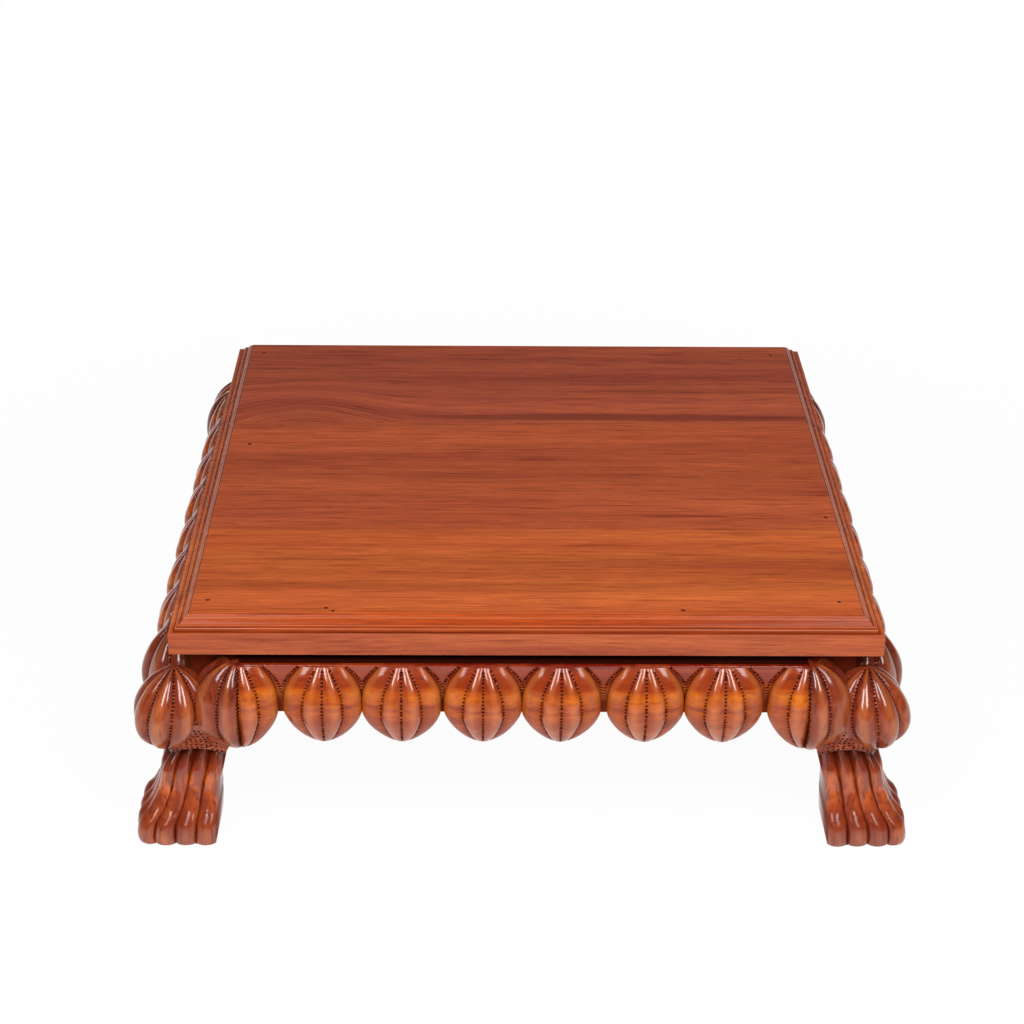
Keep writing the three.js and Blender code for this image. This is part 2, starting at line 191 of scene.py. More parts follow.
def vectorMaths(tree, operation, first, second):
    # SCALE takes a number as its second value, the others take a vector
    inputs = {0: first, 3 if operation == "SCALE" else 1: second}
    return addNode(tree, "ShaderNodeVectorMath", inputs, operation=operation).outputs[0]


def between(tree, value, low, high, easing="SMOOTHSTEP"):
    # 0 below low, 1 above high, eased between them
    inputs = {"Value": value, "From Min": low, "From Max": high}
    return addNode(tree, "ShaderNodeMapRange", inputs, interpolation_type=easing).outputs[0]


def mixColour(tree, factor, first, second, blend="MIX"):
    node = addNode(tree, "ShaderNodeMix", data_type="RGBA", blend_type=blend)
    for index, value in ((0, factor), (6, first), (7, second)):
        if isinstance(value, bpy.types.NodeSocket):
            tree.links.new(value, node.inputs[index])
        elif index == 0:
            node.inputs[index].default_value = value
        else:
            node.inputs[index].default_value = (*value, 1)
    return node.outputs[2]


def noiseOf(tree, place, detail=2.0, roughness=0.5):
    inputs = {"Vector": place, "Scale": 1.0, "Detail": detail, "Roughness": roughness}
    return addNode(tree, "ShaderNodeTexNoise", inputs).outputs["Fac"]


def shadeOf(tree, name):
    return addNode(tree, "ShaderNodeAttribute", attribute_name=name).outputs["Fac"]


def objectPlace(tree):
    return addNode(tree, "ShaderNodeTexCoord").outputs["Object"]


def splitPlace(tree, place):
    return addNode(tree, "ShaderNodeSeparateXYZ", {0: place}).outputs


def rampOf(tree, factor, stops):
    # Colour by a number: stops are (place, colour)
    node = addNode(tree, "ShaderNodeValToRGB", {"Fac": factor})
    elements = node.color_ramp.elements
    elements[0].position = stops[0][0]
    elements[1].position = stops[-1][0]
    for place, _ in stops[1:-1]:
        elements.new(place)
    for element, (_, colour) in zip(elements, stops):
        element.color = (*colour, 1)
    return node.outputs["Color"]


def litAlong(tree, colour, place, lights, axis, startAt=0):
    # Colour times a tint that changes along one axis: lights are (millimetres, lightness or tint),
    # measured from a place on that axis. A ramp holds no more than 1, so the tints are halved there
    first, last = lights[0][0], lights[-1][0]
    low, high = (startAt + first) * mm, (startAt + last) * mm
    share = between(tree, splitPlace(tree, place)[axis], low, high, "LINEAR")
    stops = []
    for at, light in lights:
        tint = light if isinstance(light, tuple) else (light, light, light)
        stops.append(((at - first) / (last - first), tuple(part / 2 for part in tint)))
    doubled = vectorMaths(tree, "SCALE", rampOf(tree, share, stops), 2.0)
    return mixColour(tree, 1.0, colour, doubled, "MULTIPLY")


def grainPlace(tree, place, along, across, lengthwise, offset=(0, 0, 0)):
    # The place squeezed so that noise draws fibres along one axis; scales are per metre
    scales = [across] * 3
    scales[along] = lengthwise
    squeezed = vectorMaths(tree, "MULTIPLY", place, scales)
    return vectorMaths(tree, "ADD", squeezed, offset)


def emptyTree(owner):
    owner.use_nodes = True
    owner.node_tree.nodes.clear()
    return owner.node_tree


def startMaterial(name):
    material = bpy.data.materials.new(name)
    tree = emptyTree(material)
    surface = addNode(tree, "ShaderNodeBsdfPrincipled")
    addNode(tree, "ShaderNodeOutputMaterial", {"Surface": surface.outputs[0]})
    return material, tree, surface


def unevenGloss(tree, spread, finish):
    # Roughness that strays round the finish's own
    least = finish["roughness"] - finish["unevenness"] / 2
    return maths(tree, "MULTIPLY_ADD", spread, finish["unevenness"], least)


def finishSurface(tree, surface, colour, roughness, height, bump):
    # A bump is (metres, strength)
    inputs = {"Height": height, "Distance": bump[0], "Strength": bump[1]}
    normal = addNode(tree, "ShaderNodeBump", inputs).outputs[0]
    tree.links.new(colour, surface.inputs["Base Color"])
    tree.links.new(roughness, surface.inputs["Roughness"])
    tree.links.new(normal, surface.inputs["Normal"])


# Wood: bands, dark streaks, fibres and pores, all running along the grain
woodGrain = {
    "warpScale": 7.0,  # per metre
    "warp": 0.012,  # metres that a fibre strays sideways
    # Noise of each kind of mark: scales across and along the grain per metre, detail, roughness
    "bands": (60.0, 2.6, 3.0, 0.6),
    "streaks": (440.0, 16.0, 2.0, 0.55),
    "fibres": (900.0, 40.0, 2.0, 0.6),
    "pores": (1500.0, 95.0, 2.0, 0.5),
    # Where in that noise a tone or a mark begins and is full
    "toneStops": {"dark": 0.3, "middle": 0.48, "light": 0.68},
    "streakRange": (0.52, 0.72),
    "poreRange": (0.6, 0.74),
}


def woodFigure(tree, along, tones, place, warpShare=1.0):
    # Returns the colour of the bare wood, the height of its grain and the place it was read at
    grain = woodGrain
    offset = tones["offset"]
    warpPlace = grainPlace(tree, place, along, grain["warpScale"], grain["warpScale"] / 2, offset)
    warpInputs = {"Vector": warpPlace, "Scale": 1.0, "Detail": 1.0}
    warpNoise = addNode(tree, "ShaderNodeTexNoise", warpInputs).outputs["Color"]
    centred = vectorMaths(tree, "SUBTRACT", warpNoise, (0.5, 0.5, 0.5))
    warp = vectorMaths(tree, "SCALE", centred, grain["warp"] * warpShare)
    warped = vectorMaths(tree, "ADD", place, warp)

    def marks(kind):
        across, lengthwise, detail, roughness = grain[kind]
        markPlace = grainPlace(tree, warped, along, across, lengthwise, offset)
        return noiseOf(tree, markPlace, detail, roughness)

    stops = [(at, tones[tone]) for tone, at in grain["toneStops"].items()]
    colour = rampOf(tree, marks("bands"), stops)
    streaks = between(tree, marks("streaks"), *grain["streakRange"])
    streakMask = maths(tree, "MULTIPLY", streaks, tones["streaks"])
    colour = mixColour(tree, streakMask, colour, tones["streak"])
    fibres = marks("fibres")
    light = maths(tree, "MULTIPLY_ADD", fibres, tones["fibres"], 1 - tones["fibres"] / 2)
    colour = vectorMaths(tree, "SCALE", colour, light)
    pores = between(tree, marks("pores"), *grain["poreRange"])
    poreMask = maths(tree, "MULTIPLY", pores, tones["pores"])
    colour = mixColour(tree, poreMask, colour, tones["streak"])
    return colour, maths(tree, "SUBTRACT", fibres, poreMask), warped


def patchMask(tree, place, centre, half, soft=0.5):
    # 1 inside an ellipse on the top, 0 outside; centre and half size in metres
    squares = []
    for socket, middle, reach in zip(splitPlace(tree, place), centre, half):
        share = maths(tree, "DIVIDE", maths(tree, "SUBTRACT", socket, middle), reach)
        squares.append(maths(tree, "MULTIPLY", share, share))
    distance = maths(tree, "ADD", *squares)
    return maths(tree, "SUBTRACT", 1.0, between(tree, distance, 1 - soft, 1 + soft))


# The top: every board has its own tones and its own light and dark bands.
# Bands are (millimetres back from the front edge of the top, lightness).
topBoards = {
    "front": {
        "light": (0.59, 0.136, 0.032),
        "middle": (0.5, 0.103, 0.027),
        "dark": (0.395, 0.071, 0.022),
        "streak": (0.22, 0.028, 0.009),
        "streaks": 0.48,
        "fibres": 1.0,
        "pores": 0.6,
        "bands": [
            (0, (0.88, 0.98, 1.4)), (0.6, (0.88, 0.98, 1.4)), (3, (0.9, 0.63, 0.25)),
            (13, (0.9, 0.63, 0.25)), (16, 1.0), (22, 1.1), (40, 1.08), (46, 0.86), (51, 0.84),
            (56, 0.98), (64, 0.88), (70, 0.97), (76, 0.88), (86, 0.87), (93, 1.0), (108, 1.06),
            (127, 1.04),
        ],
        "patches": [],
        "offset": (0.0, 3.1, 0.7),
    },
    "middle": {
        "light": (0.51, 0.105, 0.036),
        "middle": (0.436, 0.085, 0.031),
        "dark": (0.353, 0.062, 0.026),
        "streak": (0.17, 0.022, 0.008),
        "streaks": 0.52,
        "fibres": 1.0,
        "pores": 0.65,
        "bands": [
            (127, 0.92), (133, 0.94), (141, 1.04), (150, 1.0), (165, 1.05), (182, 0.93),
            (195, 0.97), (206, 0.9), (226, 0.93), (240, 0.98), (258, 1.03), (276, 1.1),
            (290, 1.0), (298, 1.02),
        ],
        "patches": [
            {"across": 112, "back": 147, "halfAcross": 34, "halfBack": 1.4, "depth": 0.75},
        ],
        "offset": (5.3, 0.4, 2.2),
    },
    "back": {
        "light": (0.48, 0.1, 0.043),
        "middle": (0.405, 0.079, 0.038),
        "dark": (0.33, 0.058, 0.032),
        "streak": (0.13, 0.018, 0.008),
        "streaks": 0.58,
        "fibres": 0.9,
        "pores": 0.65,
        "bands": [
            (298, 1.0), (303, 0.93), (312, 0.95), (318, 1.1), (335, 1.08), (352, 0.96),
            (358, 1.04), (374, 0.9), (392, 1.0), (410, 0.95), (430, 1.0), (457, 0.95),
        ],
        "patches": [
            {"across": 75, "back": 308, "halfAcross": 160, "halfBack": 6, "depth": 0.5},
            {"across": 150, "back": 356, "halfAcross": 120, "halfBack": 3, "depth": 0.35},
        ],
        "offset": (1.7, 6.0, 4.1),
    },
}
# Grain that arches over a knot beside the back joint
topKnot = {
    "across": -160,
    "halfAcross": 52,
    "back": 298,
    "fadesBack": 400,
    "rise": 42,
    "lines": 5.5,  # apart
    "lineDepth": 0.5,
    "lineRange": (0.2, 1.0),  # of the wave that draws them
    "lineFade": 1.5,
}
topVarnish = {
    "warpShare": 0.5,  # of the stray that other wood has
    "roughness": 0.3,
    "unevenness": 0.1,
    "flow": (60.0, 30.0),
    "bump": (0.00012, 0.25),
    "coat": 0.12,
    "coatRoughness": 0.14,
    "specular": 0.06,
    # Painted shade in the moulding's corners comes and goes along the grain
    "arris": (0.13, 0.013, 0.004),
    "arrisGrain": (700.0, 14.0),
    "arrisOffset": (2, 5, 1),
    "arrisRange": (0.35, 0.65),
    "arrisDepth": (0.45, 1.15),  # least and most
    # Painted highlight: the moulding's arrises are lighter
    "worn": (0.9, 0.4, 0.2),
    "wornHighlightDepth": 0.25,
}


def backPlace(back):
    return (back - topHalf) * mm


def archedGrain(tree, place):
    # Moves the place so that straight grain arches over the knot; also gives the knot's own lines
    knot = topKnot
    across, back, up = splitPlace(tree, place)
    offset = maths(tree, "SUBTRACT", across, knot["across"] * mm)
    share = maths(tree, "DIVIDE", offset, knot["halfAcross"] * mm)
    square = maths(tree, "MULTIPLY", share, share)
    bell = maths(tree, "EXPONENT", maths(tree, "MULTIPLY", square, -1.0))
    fade = between(tree, back, backPlace(knot["fadesBack"]), backPlace(knot["back"]))
    mask = maths(tree, "MULTIPLY", bell, fade)
    moved = maths(tree, "ADD", back, maths(tree, "MULTIPLY", mask, -knot["rise"] * mm))
    joined = addNode(tree, "ShaderNodeCombineXYZ", {0: across, 1: moved, 2: up})
    waves = maths(tree, "SINE", maths(tree, "MULTIPLY", moved, 2 * math.pi / (knot["lines"] * mm)))
    lines = between(tree, waves, *knot["lineRange"])
    fading = maths(tree, "POWER", mask, knot["lineFade"])
    return joined.outputs[0], maths(tree, "MULTIPLY", fading, lines)


def topWood(board):
    # Planks with straight grain along X under a gloss varnish
    tones, varnish = topBoards[board], topVarnish
    material, tree, surface = startMaterial(f"varnishedTop{board.capitalize()}")
    boardPlace = objectPlace(tree)
    bentPlace, knotLines = boardPlace, None
    if board == "back":
        bentPlace, knotLines = archedGrain(tree, boardPlace)
    colour, height, place = woodFigure(tree, 0, tones, bentPlace, varnish["warpShare"])
    colour = litAlong(tree, colour, place, tones["bands"], 1, -topHalf)
    for patch in tones["patches"]:
        centre = (patch["across"] * mm, backPlace(patch["back"]))
        half = (patch["halfAcross"] * mm, patch["halfBack"] * mm)
        mask = maths(tree, "MULTIPLY", patchMask(tree, place, centre, half), patch["depth"])
        colour = mixColour(tree, mask, colour, tones["streak"])
    if knotLines is not None:
        lineMask = maths(tree, "MULTIPLY", knotLines, topKnot["lineDepth"])
        colour = mixColour(tree, lineMask, colour, tones["streak"])
    # Painted shade in the moulding's corners, with the dark of the joints and nail dimples
    arrisPlace = grainPlace(tree, boardPlace, 0, *varnish["arrisGrain"], varnish["arrisOffset"])
    comeAndGo = between(tree, noiseOf(tree, arrisPlace, *patchyNoise), *varnish["arrisRange"])
    least, most = varnish["arrisDepth"]
    depth = maths(tree, "MULTIPLY_ADD", comeAndGo, most - least, least)
    arrisMask = maths(tree, "MULTIPLY", depth, shadeOf(tree, "crease"), clamp=True)
    colour = mixColour(tree, arrisMask, colour, varnish["arris"])
    # Painted highlight on the moulding's arrises
    wornHighlightMask = maths(tree, "MULTIPLY", shadeOf(tree, "wear"), varnish["wornHighlightDepth"])
    colour = mixColour(tree, wornHighlightMask, colour, varnish["worn"])
    spread = noiseOf(tree, grainPlace(tree, boardPlace, 0, *varnish["flow"]))
    roughness = unevenGloss(tree, spread, varnish)
    finishSurface(tree, surface, colour, roughness, height, varnish["bump"])
    surface.inputs["Specular IOR Level"].default_value = varnish["specular"]
    surface.inputs["Coat Weight"].default_value = varnish["coat"]
    surface.inputs["Coat Roughness"].default_value = varnish["coatRoughness"]
    return material


# Carved wood: one plank or block runs its grain along one axis; colours also change with height
carvedTones = {
    "apron": {
        "light": (0.64, 0.16, 0.014),
        "middle": (0.47, 0.085, 0.011),
        "dark": (0.33, 0.045, 0.009),
        "streak": (0.15, 0.016, 0.005),
        "streaks": 0.45,
        "fibres": 0.45,
        "pores": 0.4,
        # By height: the crowns are darker, partly in their own colour and partly as painted shade
        # under the top; a painted reflection of the floor makes the low parts paler and bluer
        "heights": [
            (60, (1.2, 1.34, 2.4)), (84, (1.15, 1.2, 1.8)), (95, (1.04, 0.98, 0.95)),
            (99, (0.95, 0.82, 0.4)), (101.5, (0.62, 0.38, 0.28)), (103, (1.0, 0.92, 0.28)),
            (110, (1.14, 1.12, 0.3)), (112.5, (0.92, 0.66, 0.24)), (114.5, (0.55, 0.28, 0.22)),
            (124.5, (0.54, 0.27, 0.25)), (126, (0.35, 0.07, 0.07)),
        ],
        "blotches": 0.6,
        "blotchGrain": (70.0, 45.0),
        "offset": (2.0, 1.0, 0.3),
    },
    "leg": {
        "light": (0.54, 0.115, 0.024),
        "middle": (0.4, 0.07, 0.017),
        "dark": (0.24, 0.034, 0.011),
        "streak": (0.08, 0.01, 0.004),
        "streaks": 0.75,
        "fibres": 0.6,
        "pores": 0.45,
        # By height: painted shade under the top and in the hollows below the cuff, and painted light
        # on the cuff, which the bulbs shade
        "heights": [
            (0, (0.9, 0.95, 1.3)), (12, (0.84, 0.82, 1.0)), (24, (0.92, 0.82, 0.85)),
            (33, (1.2, 1.2, 0.85)), (43, (1.32, 1.45, 0.9)), (48, (0.8, 0.62, 0.6)),
            (55, (0.42, 0.32, 0.4)), (61, (0.48, 0.38, 0.48)), (63, (1.25, 1.3, 1.9)),
            (72, (1.2, 1.3, 1.9)), (79, (0.95, 1.1, 1.5)), (90, (0.95, 1.05, 1.2)),
            (103, (0.8, 0.75, 0.8)), (110, (0.6, 0.46, 0.52)), (118, (0.36, 0.22, 0.28)),
            (126, (0.2, 0.1, 0.14)), (131, (0.1, 0.04, 0.06)),
        ],
        "blotches": 0.85,
        "blotchGrain": (120.0, 50.0),
        "offset": (0.6, 4.4, 1.9),
    },
}
carvedVarnish = {
    "blotchRange": (0.44, 0.62),
    "roughness": 0.24,
    "unevenness": 0.16,
    "flow": (240.0, 120.0),
    "rippleGrain": (380.0, 200.0),
    "rippleOffset": (3, 1, 2),
    "ripples": 3.0,  # times the height of the grain
    "bump": (0.00015, 0.3),
    "coat": 0.95,
    "coatIor": 1.65,
    "coatRoughness": 0.15,
    "specular": 0.04,
    # Painted shade, laid on where the crease shade is
    "crease": (0.17, 0.02, 0.006),
    "creaseDepth": 0.75,
    "creaseRoughness": 0.3,
    "creaseBareness": 1.3,
    # Painted shade in the punched dots
    "punch": (0.012, 0.002, 0.001),
    "worn": (0.66, 0.2, 0.05),
    "wornHighlightDepth": 0.3,
}


def carvedWood(name, kind, along):
    # Gloss varnish over carving: painted shade darkens the grooves, dots and other shaded places, and
    # it is lighter where it is rubbed
    tones, varnish = carvedTones[kind], carvedVarnish
    material, tree, surface = startMaterial(name)
    blockPlace = objectPlace(tree)
    colour, height, place = woodFigure(tree, along, tones, blockPlace)
    colour = litAlong(tree, colour, place, tones["heights"], 2)
    blotchPlace = grainPlace(tree, place, along, *tones["blotchGrain"], tones["offset"])
    blotch = between(tree, noiseOf(tree, blotchPlace, *patchyNoise), *varnish["blotchRange"])
    blotchMask = maths(tree, "MULTIPLY", blotch, tones["blotches"])
    colour = mixColour(tree, blotchMask, colour, tones["dark"])
    crease, punch = shadeOf(tree, "crease"), shadeOf(tree, "punch")
    # Painted shade in grooves, on flanks, between the bulbs and under the top
    creaseMask = maths(tree, "MULTIPLY", crease, varnish["creaseDepth"])
    colour = mixColour(tree, creaseMask, colour, varnish["crease"])
    wornHighlightMask = maths(tree, "MULTIPLY", shadeOf(tree, "wear"), varnish["wornHighlightDepth"])
    colour = mixColour(tree, wornHighlightMask, colour, varnish["worn"])
    # Painted shade: the punched dots are near black
    colour = mixColour(tree, punch, colour, varnish["punch"])
    spread = noiseOf(tree, grainPlace(tree, blockPlace, along, *varnish["flow"]))
    gloss = unevenGloss(tree, spread, varnish)
    roughness = maths(tree, "MULTIPLY_ADD", crease, varnish["creaseRoughness"], gloss)
    ripplePlace = grainPlace(tree, blockPlace, along, *varnish["rippleGrain"], varnish["rippleOffset"])
    relief = maths(tree, "MULTIPLY_ADD", noiseOf(tree, ripplePlace), varnish["ripples"], height)
    finishSurface(tree, surface, colour, roughness, relief, varnish["bump"])
    # Hardly any varnish lies in the dots and grooves
    bare = maths(tree, "MULTIPLY_ADD", crease, varnish["creaseBareness"], punch, clamp=True)
    coatLeft = maths(tree, "MULTIPLY_ADD", bare, -varnish["coat"], varnish["coat"])
    tree.links.new(coatLeft, surface.inputs["Coat Weight"])
    surface.inputs["Coat IOR"].default_value = varnish["coatIor"]
    surface.inputs["Coat Roughness"].default_value = varnish["coatRoughness"]
    surface.inputs["Specular IOR Level"].default_value = varnish["specular"]
    return material


print("bajot: materials")
topMaterials = {board: topWood(board) for board in topBoards}
carvedMaterials = {
    "alongX": carvedWood("carvedApronFrontBack", "apron", 0),
    "alongY": carvedWood("carvedApronSides", "apron", 1),
    "upright": carvedWood("carvedLeg", "leg", 2),
}

# Punched dots: how they stray and differ, and how many points round its middle a dot can move
dotLook = {
    "strays": 0.25,
    "radiusShares": (0.8, 1.15),
    "depthShares": (0.7, 1.1),
    "edgeShares": (0.55, 1.1),  # of the radius, from the flat bottom to the rim
    "rows": 4,
    "columns": 12,
}
# Carved bulbs: ribs between grooves, a row of punched dots down every groove
bulbLook = {
    "rowStep": 0.47,
    "grooveDepth": 3.6,
    "mostGroove": 0.17,  # of the local half width
    "grooveFlat": 0.24,  # how much of a rib's rise is left out for the flat bottom of the groove
    "grooveSharpness": 0.8,
    "dotPitch": 2.35,
    "dotRadius": 0.85,
    "dotDepth": 1.2,
    "dotGaps": (4, 1.5),  # bare groove at the bottom and at the tip
    "swell": 0.02,  # how much fatter or thinner a rib can be than the others
    "swells": 40,  # drawn for each bulb, more than it has ribs
    "unevenness": 0.4,
    "waveLength": 22,
    "calmBelow": 12,  # half width below which the skin gets less uneven
    "pastEnd": 0.4,  # the outline stops this far before it closes
    "leastWidth": 0.1,
    "leastTurn": 0.01,  # radians between the last line round a bulb and its end
    "wornRange": (0.85, 1.0),  # crests are rubbed: 0 is the bottom of a groove
    # Painted shade toward the grooves and on the outer flanks of the apron bulbs
    "grooveShade": 0.5,
    "flankShade": 0.92,
    "flankFrom": 34,  # degrees from straight ahead
    "flankTo": 88,
}
# Steps from a groove to the middle of the rib beside it, closer together near the groove
halfRibShares = np.array([0, 0.045, 0.09, 0.135, 0.18, 0.23, 0.31, 0.43, 0.59, 0.79, 1])


def evenGrooves(ribs, turn):
    # Angles of the grooves of a bulb that is ribbed evenly all round
    return np.arange(-ribs, ribs + 1) * 2 * math.pi / ribs - turn


def ribAngles(grooves, low, high):
    oneRib = np.concatenate([halfRibShares, 2 - halfRibShares[-2:0:-1]]) / 2
    spaces = zip(grooves[:-1], grooves[1:])
    angles = np.concatenate([left + (right - left) * oneRib for left, right in spaces])
    least = bulbLook["leastTurn"]
    inside = angles[(angles > low + least) & (angles < high - least)]
    return np.concatenate([[low], inside, [high]])


def grooveShape(phase):
    # 1 in the flat bottom of a groove, 0 on the crest of a rib
    flat = bulbLook["grooveFlat"]
    rise = np.clip((np.abs(np.sin(math.pi * phase)) - flat) / (1 - flat), 0, 1)
    return 1 - rise ** bulbLook["grooveSharpness"]


def evenHeights(low, high, radiusAt, step):
    # Heights whose steps are even along the outline
    fine = low + (high - low) * (1 - np.cos(np.linspace(0, math.pi, 900))) / 2
    lengths = np.hypot(np.diff(fine), np.diff(radiusAt(fine)))
    along = np.concatenate([[0], np.cumsum(lengths)])
    count = max(int(round(along[-1] / step)), 2)
    return np.interp(np.linspace(0, along[-1], count), along, fine)


def lengthsAlong(line):
    # How far along a line each of its points is
    return np.concatenate([[0], np.cumsum(np.linalg.norm(np.diff(line, axis=0), axis=1))])


def punchHole(grid, moved, punch, inward, row, column, radius, depth):
    # One dot: points near its middle move inward, and punch keeps how deep they are in it
    look = dotLook
    rows = slice(max(row - look["rows"], 0), row + look["rows"] + 1)
    columns = slice(max(column - look["columns"], 0), column + look["columns"] + 1)
    block = grid[rows, columns]
    flat, rim = look["edgeShares"]
    distance = np.linalg.norm(block - grid[row, column], axis=-1)
    share = 1 - smoothStep(distance, radius * flat, radius * rim)
    deeper = share > punch[rows, columns]
    sunk = block + inward[rows, columns] * (depth * share)[..., None]
    moved[rows, columns][deeper] = sunk[deeper]
    punch[rows, columns] = np.maximum(punch[rows, columns], share)


def punchGrooves(grid, inward, columns, look, draw):
    # Rows of dots down some columns of points
    hand = dotLook
    punch = np.zeros(grid.shape[:2])
    moved = grid.copy()
    firstGap, lastGap = look["dotGaps"]
    for column in columns:
        along = lengthsAlong(grid[:, column])
        for place in np.arange(firstGap, along[-1] - lastGap, look["dotPitch"]):
            stray = draw.uniform(-hand["strays"], hand["strays"])
            row = int(np.argmin(np.abs(along - place - stray)))
            radius = look["dotRadius"] * draw.uniform(*hand["radiusShares"])
            depth = look["dotDepth"] * draw.uniform(*hand["depthShares"])
            punchHole(grid, moved, punch, inward, row, column, radius, depth)
    return moved, punch


def fromWaist(heights, waistZ, endZ):
    # Share of the way from a bulb's waist to its end
    return np.clip((heights - waistZ) / (endZ - waistZ), 0, 1)


def swellAt(heights, waistZ, endZ, curve):
    # 1 at the waist and 0 at the end, along a curve of (power, root)
    power, root = curve
    return (1 - fromWaist(heights, waistZ, endZ) ** power) ** root


def bulbSize(heights, levels, most, crown, curves):
    # Half width or reach of a bulb: levels are its bottom, waist and top; the curves are those
    # below and above the waist
    bottomZ, waistZ, topZ = levels
    lower = swellAt(heights, waistZ, bottomZ - bulbLook["pastEnd"], curves[0])
    upper = swellAt(heights, waistZ, topZ, curves[1])
    return np.where(heights < waistZ, most * lower, crown + (most - crown) * upper)


def backLines(heights, places):
    # Upright lines of points that close a half bulb at its back; x may change with the height
    lines = [
        np.stack([np.broadcast_to(x, heights.shape), np.full(len(heights), y), heights], axis=-1)
        for x, y in places
    ]
    return np.stack(lines, axis=1)


def bulbOutline(place, ends, angles, grooves, closing, halfWidthAt, reachAt, **changes):
    # All that bulbSkin asks for; ends are the bottom and the tip, angles where the ribs start and end
    outline = {
        "place": place,
        "ends": ends,
        "angles": angles,
        "grooves": grooves,
        "closing": closing,
        "halfWidthAt": halfWidthAt,
        "reachAt": reachAt,
        "leanAt": np.zeros_like,
        "gatherAt": np.zeros_like,
        "dotsWithin": 3.0,
        "hasFlanks": False,
    }
    return outline | changes


def bulbSkin(outline, draw):
    # One bulb, round or half: its rings stand on one axis, and closing points join them at the back
    look = bulbLook
    grooves = outline["grooves"]
    angles = ribAngles(grooves, *outline["angles"])
    heights = evenHeights(*outline["ends"], outline["reachAt"], look["rowStep"])
    halfWidths = outline["halfWidthAt"](heights)[:, None]
    reaches = outline["reachAt"](heights)[:, None]
    # Whole numbers at the grooves, halves on the crests between them
    phase = np.interp(angles, grooves, np.arange(len(grooves)))
    groove = grooveShape(phase)[None, :]
    wide = np.maximum(halfWidths, look["leastWidth"])
    depth = np.minimum(look["grooveDepth"] / wide, look["mostGroove"])
    full = 1 - depth * groove
    swell = draw.uniform(-look["swell"], look["swell"], size=look["swells"])
    full = full * (1 + swell[np.floor(phase).astype(int)][None, :] * (1 - groove))
    lean = outline["leanAt"](heights)[:, None]
    gathered = angles - outline["gatherAt"](heights)[:, None] * np.sin(2 * angles)
    x = outline["place"][0] + lean - halfWidths * full * np.sin(gathered)
    y = outline["place"][1] + lean + reaches * full * np.cos(gathered)
    grid = np.stack([x, y, np.broadcast_to(heights[:, None], x.shape)], axis=-1)
    inward = np.stack([np.sin(gathered), -np.cos(gathered), np.zeros_like(gathered)], axis=-1)
    waves = wavering(grid.reshape(-1, 3), look["waveLength"], look["unevenness"], draw)
    calm = np.minimum(1, wide / look["calmBelow"])
    grid = grid + inward * (waves.reshape(x.shape) * calm)[..., None]
    columns = [
        column
        for column, place in enumerate(phase)
        if abs(place - round(place)) < 1e-6 and abs(angles[column]) <= outline["dotsWithin"]
    ]
    grid, punch = punchGrooves(grid, inward, columns, look, draw)
    # Painted shade: darker toward the grooves and on the outer flanks
    flank = smoothStep(np.abs(np.degrees(angles)), look["flankFrom"], look["flankTo"])
    flankShade = flank * outline["hasFlanks"] * look["flankShade"]
    crease = np.broadcast_to(np.maximum(groove * look["grooveShade"], flankShade), punch.shape)
    wear = smoothStep(1 - np.broadcast_to(groove, punch.shape), *look["wornRange"])
    closing = outline["closing"](heights)
    blank = np.zeros(closing.shape[:2])
    return loft(
        np.concatenate([closing, grid], axis=1),
        crease=np.concatenate([blank, crease], axis=1),
        punch=np.concatenate([blank, punch], axis=1),
        wear=np.concatenate([blank, wear], axis=1),
    )


# Aprons: a plank with a ledge on top and a row of half bulbs in front, the end ones cut at the seams
apronLook = {
    "facePlane": 4.4,  # proud of the top's edge
    "webHeight": 35,
    # Painted shade: the web is darkest low down between the bulbs
    "webDarkness": (1.0, 0.0),  # at its bottom and top
    "webEase": 0.6,
    "webStep": 8,
    "bulbs": 7,  # spaces from seam to seam
    "grooves": [-98, -36, 0, 36, 98],  # degrees from straight ahead
    "dotsWithin": 1.4,  # radians from straight ahead
    "reach": 17.2,
    "footing": 0.5,
    "crownDrop": 0.8,
    "crownProud": 1.6,
    "crownHalfWidth": 14.5,
    "waistDrop": 31,
    "height": 57,
    "widthCurves": ((1.5, 0.66), (3.5, 1.15)),
    "reachCurves": ((1.5, 0.66), (1.8, 0.9)),
    "endExtraDrop": 5,
    "seamGap": 0.3,
    "overlap": 0.25,
    "leaning": 0.4,  # how far a bulb strays along the apron
    "gather": (0.3, 2.2),  # how strongly the ribs draw together at the crown, and how late
    # The front apron's bulbs as they were carved, from its left end as the +Y side sees it
    "frontShifts": [1.6, 0, 2.0, 0, 0, -1.6],
}
seamLook = {
    "besideBulb": 0.7,
    "bottom": 105,
    "halfWidth": 1.2,
    "columns": 9,
    "rowStep": 0.4,
    "fineRows": 90,
    "proud": 0.95,
    "sunk": 0.12,
    "deep": 1.2,
    "tint": 0.42,
    "dotPitch": 2.2,
    "dotRadius": 0.9,
    "dotDepth": 0.75,
    "dotGaps": (1.0, 0.8),
}
shadowLook = {"deep": 1, "proud": 0.04, "past": 1.6, "darkness": [0.75, 1, 1, 0.75], "bareness": 0.9}
barLook = {"arrisPoints": 5, "easeShare": 0.3, "unevenness": 0.12, "waveLength": 60}
faceY = topHalf + apronLook["facePlane"]
bulbAxisY = faceY - apronLook["footing"]
apronEnd = seamX - apronLook["seamGap"]


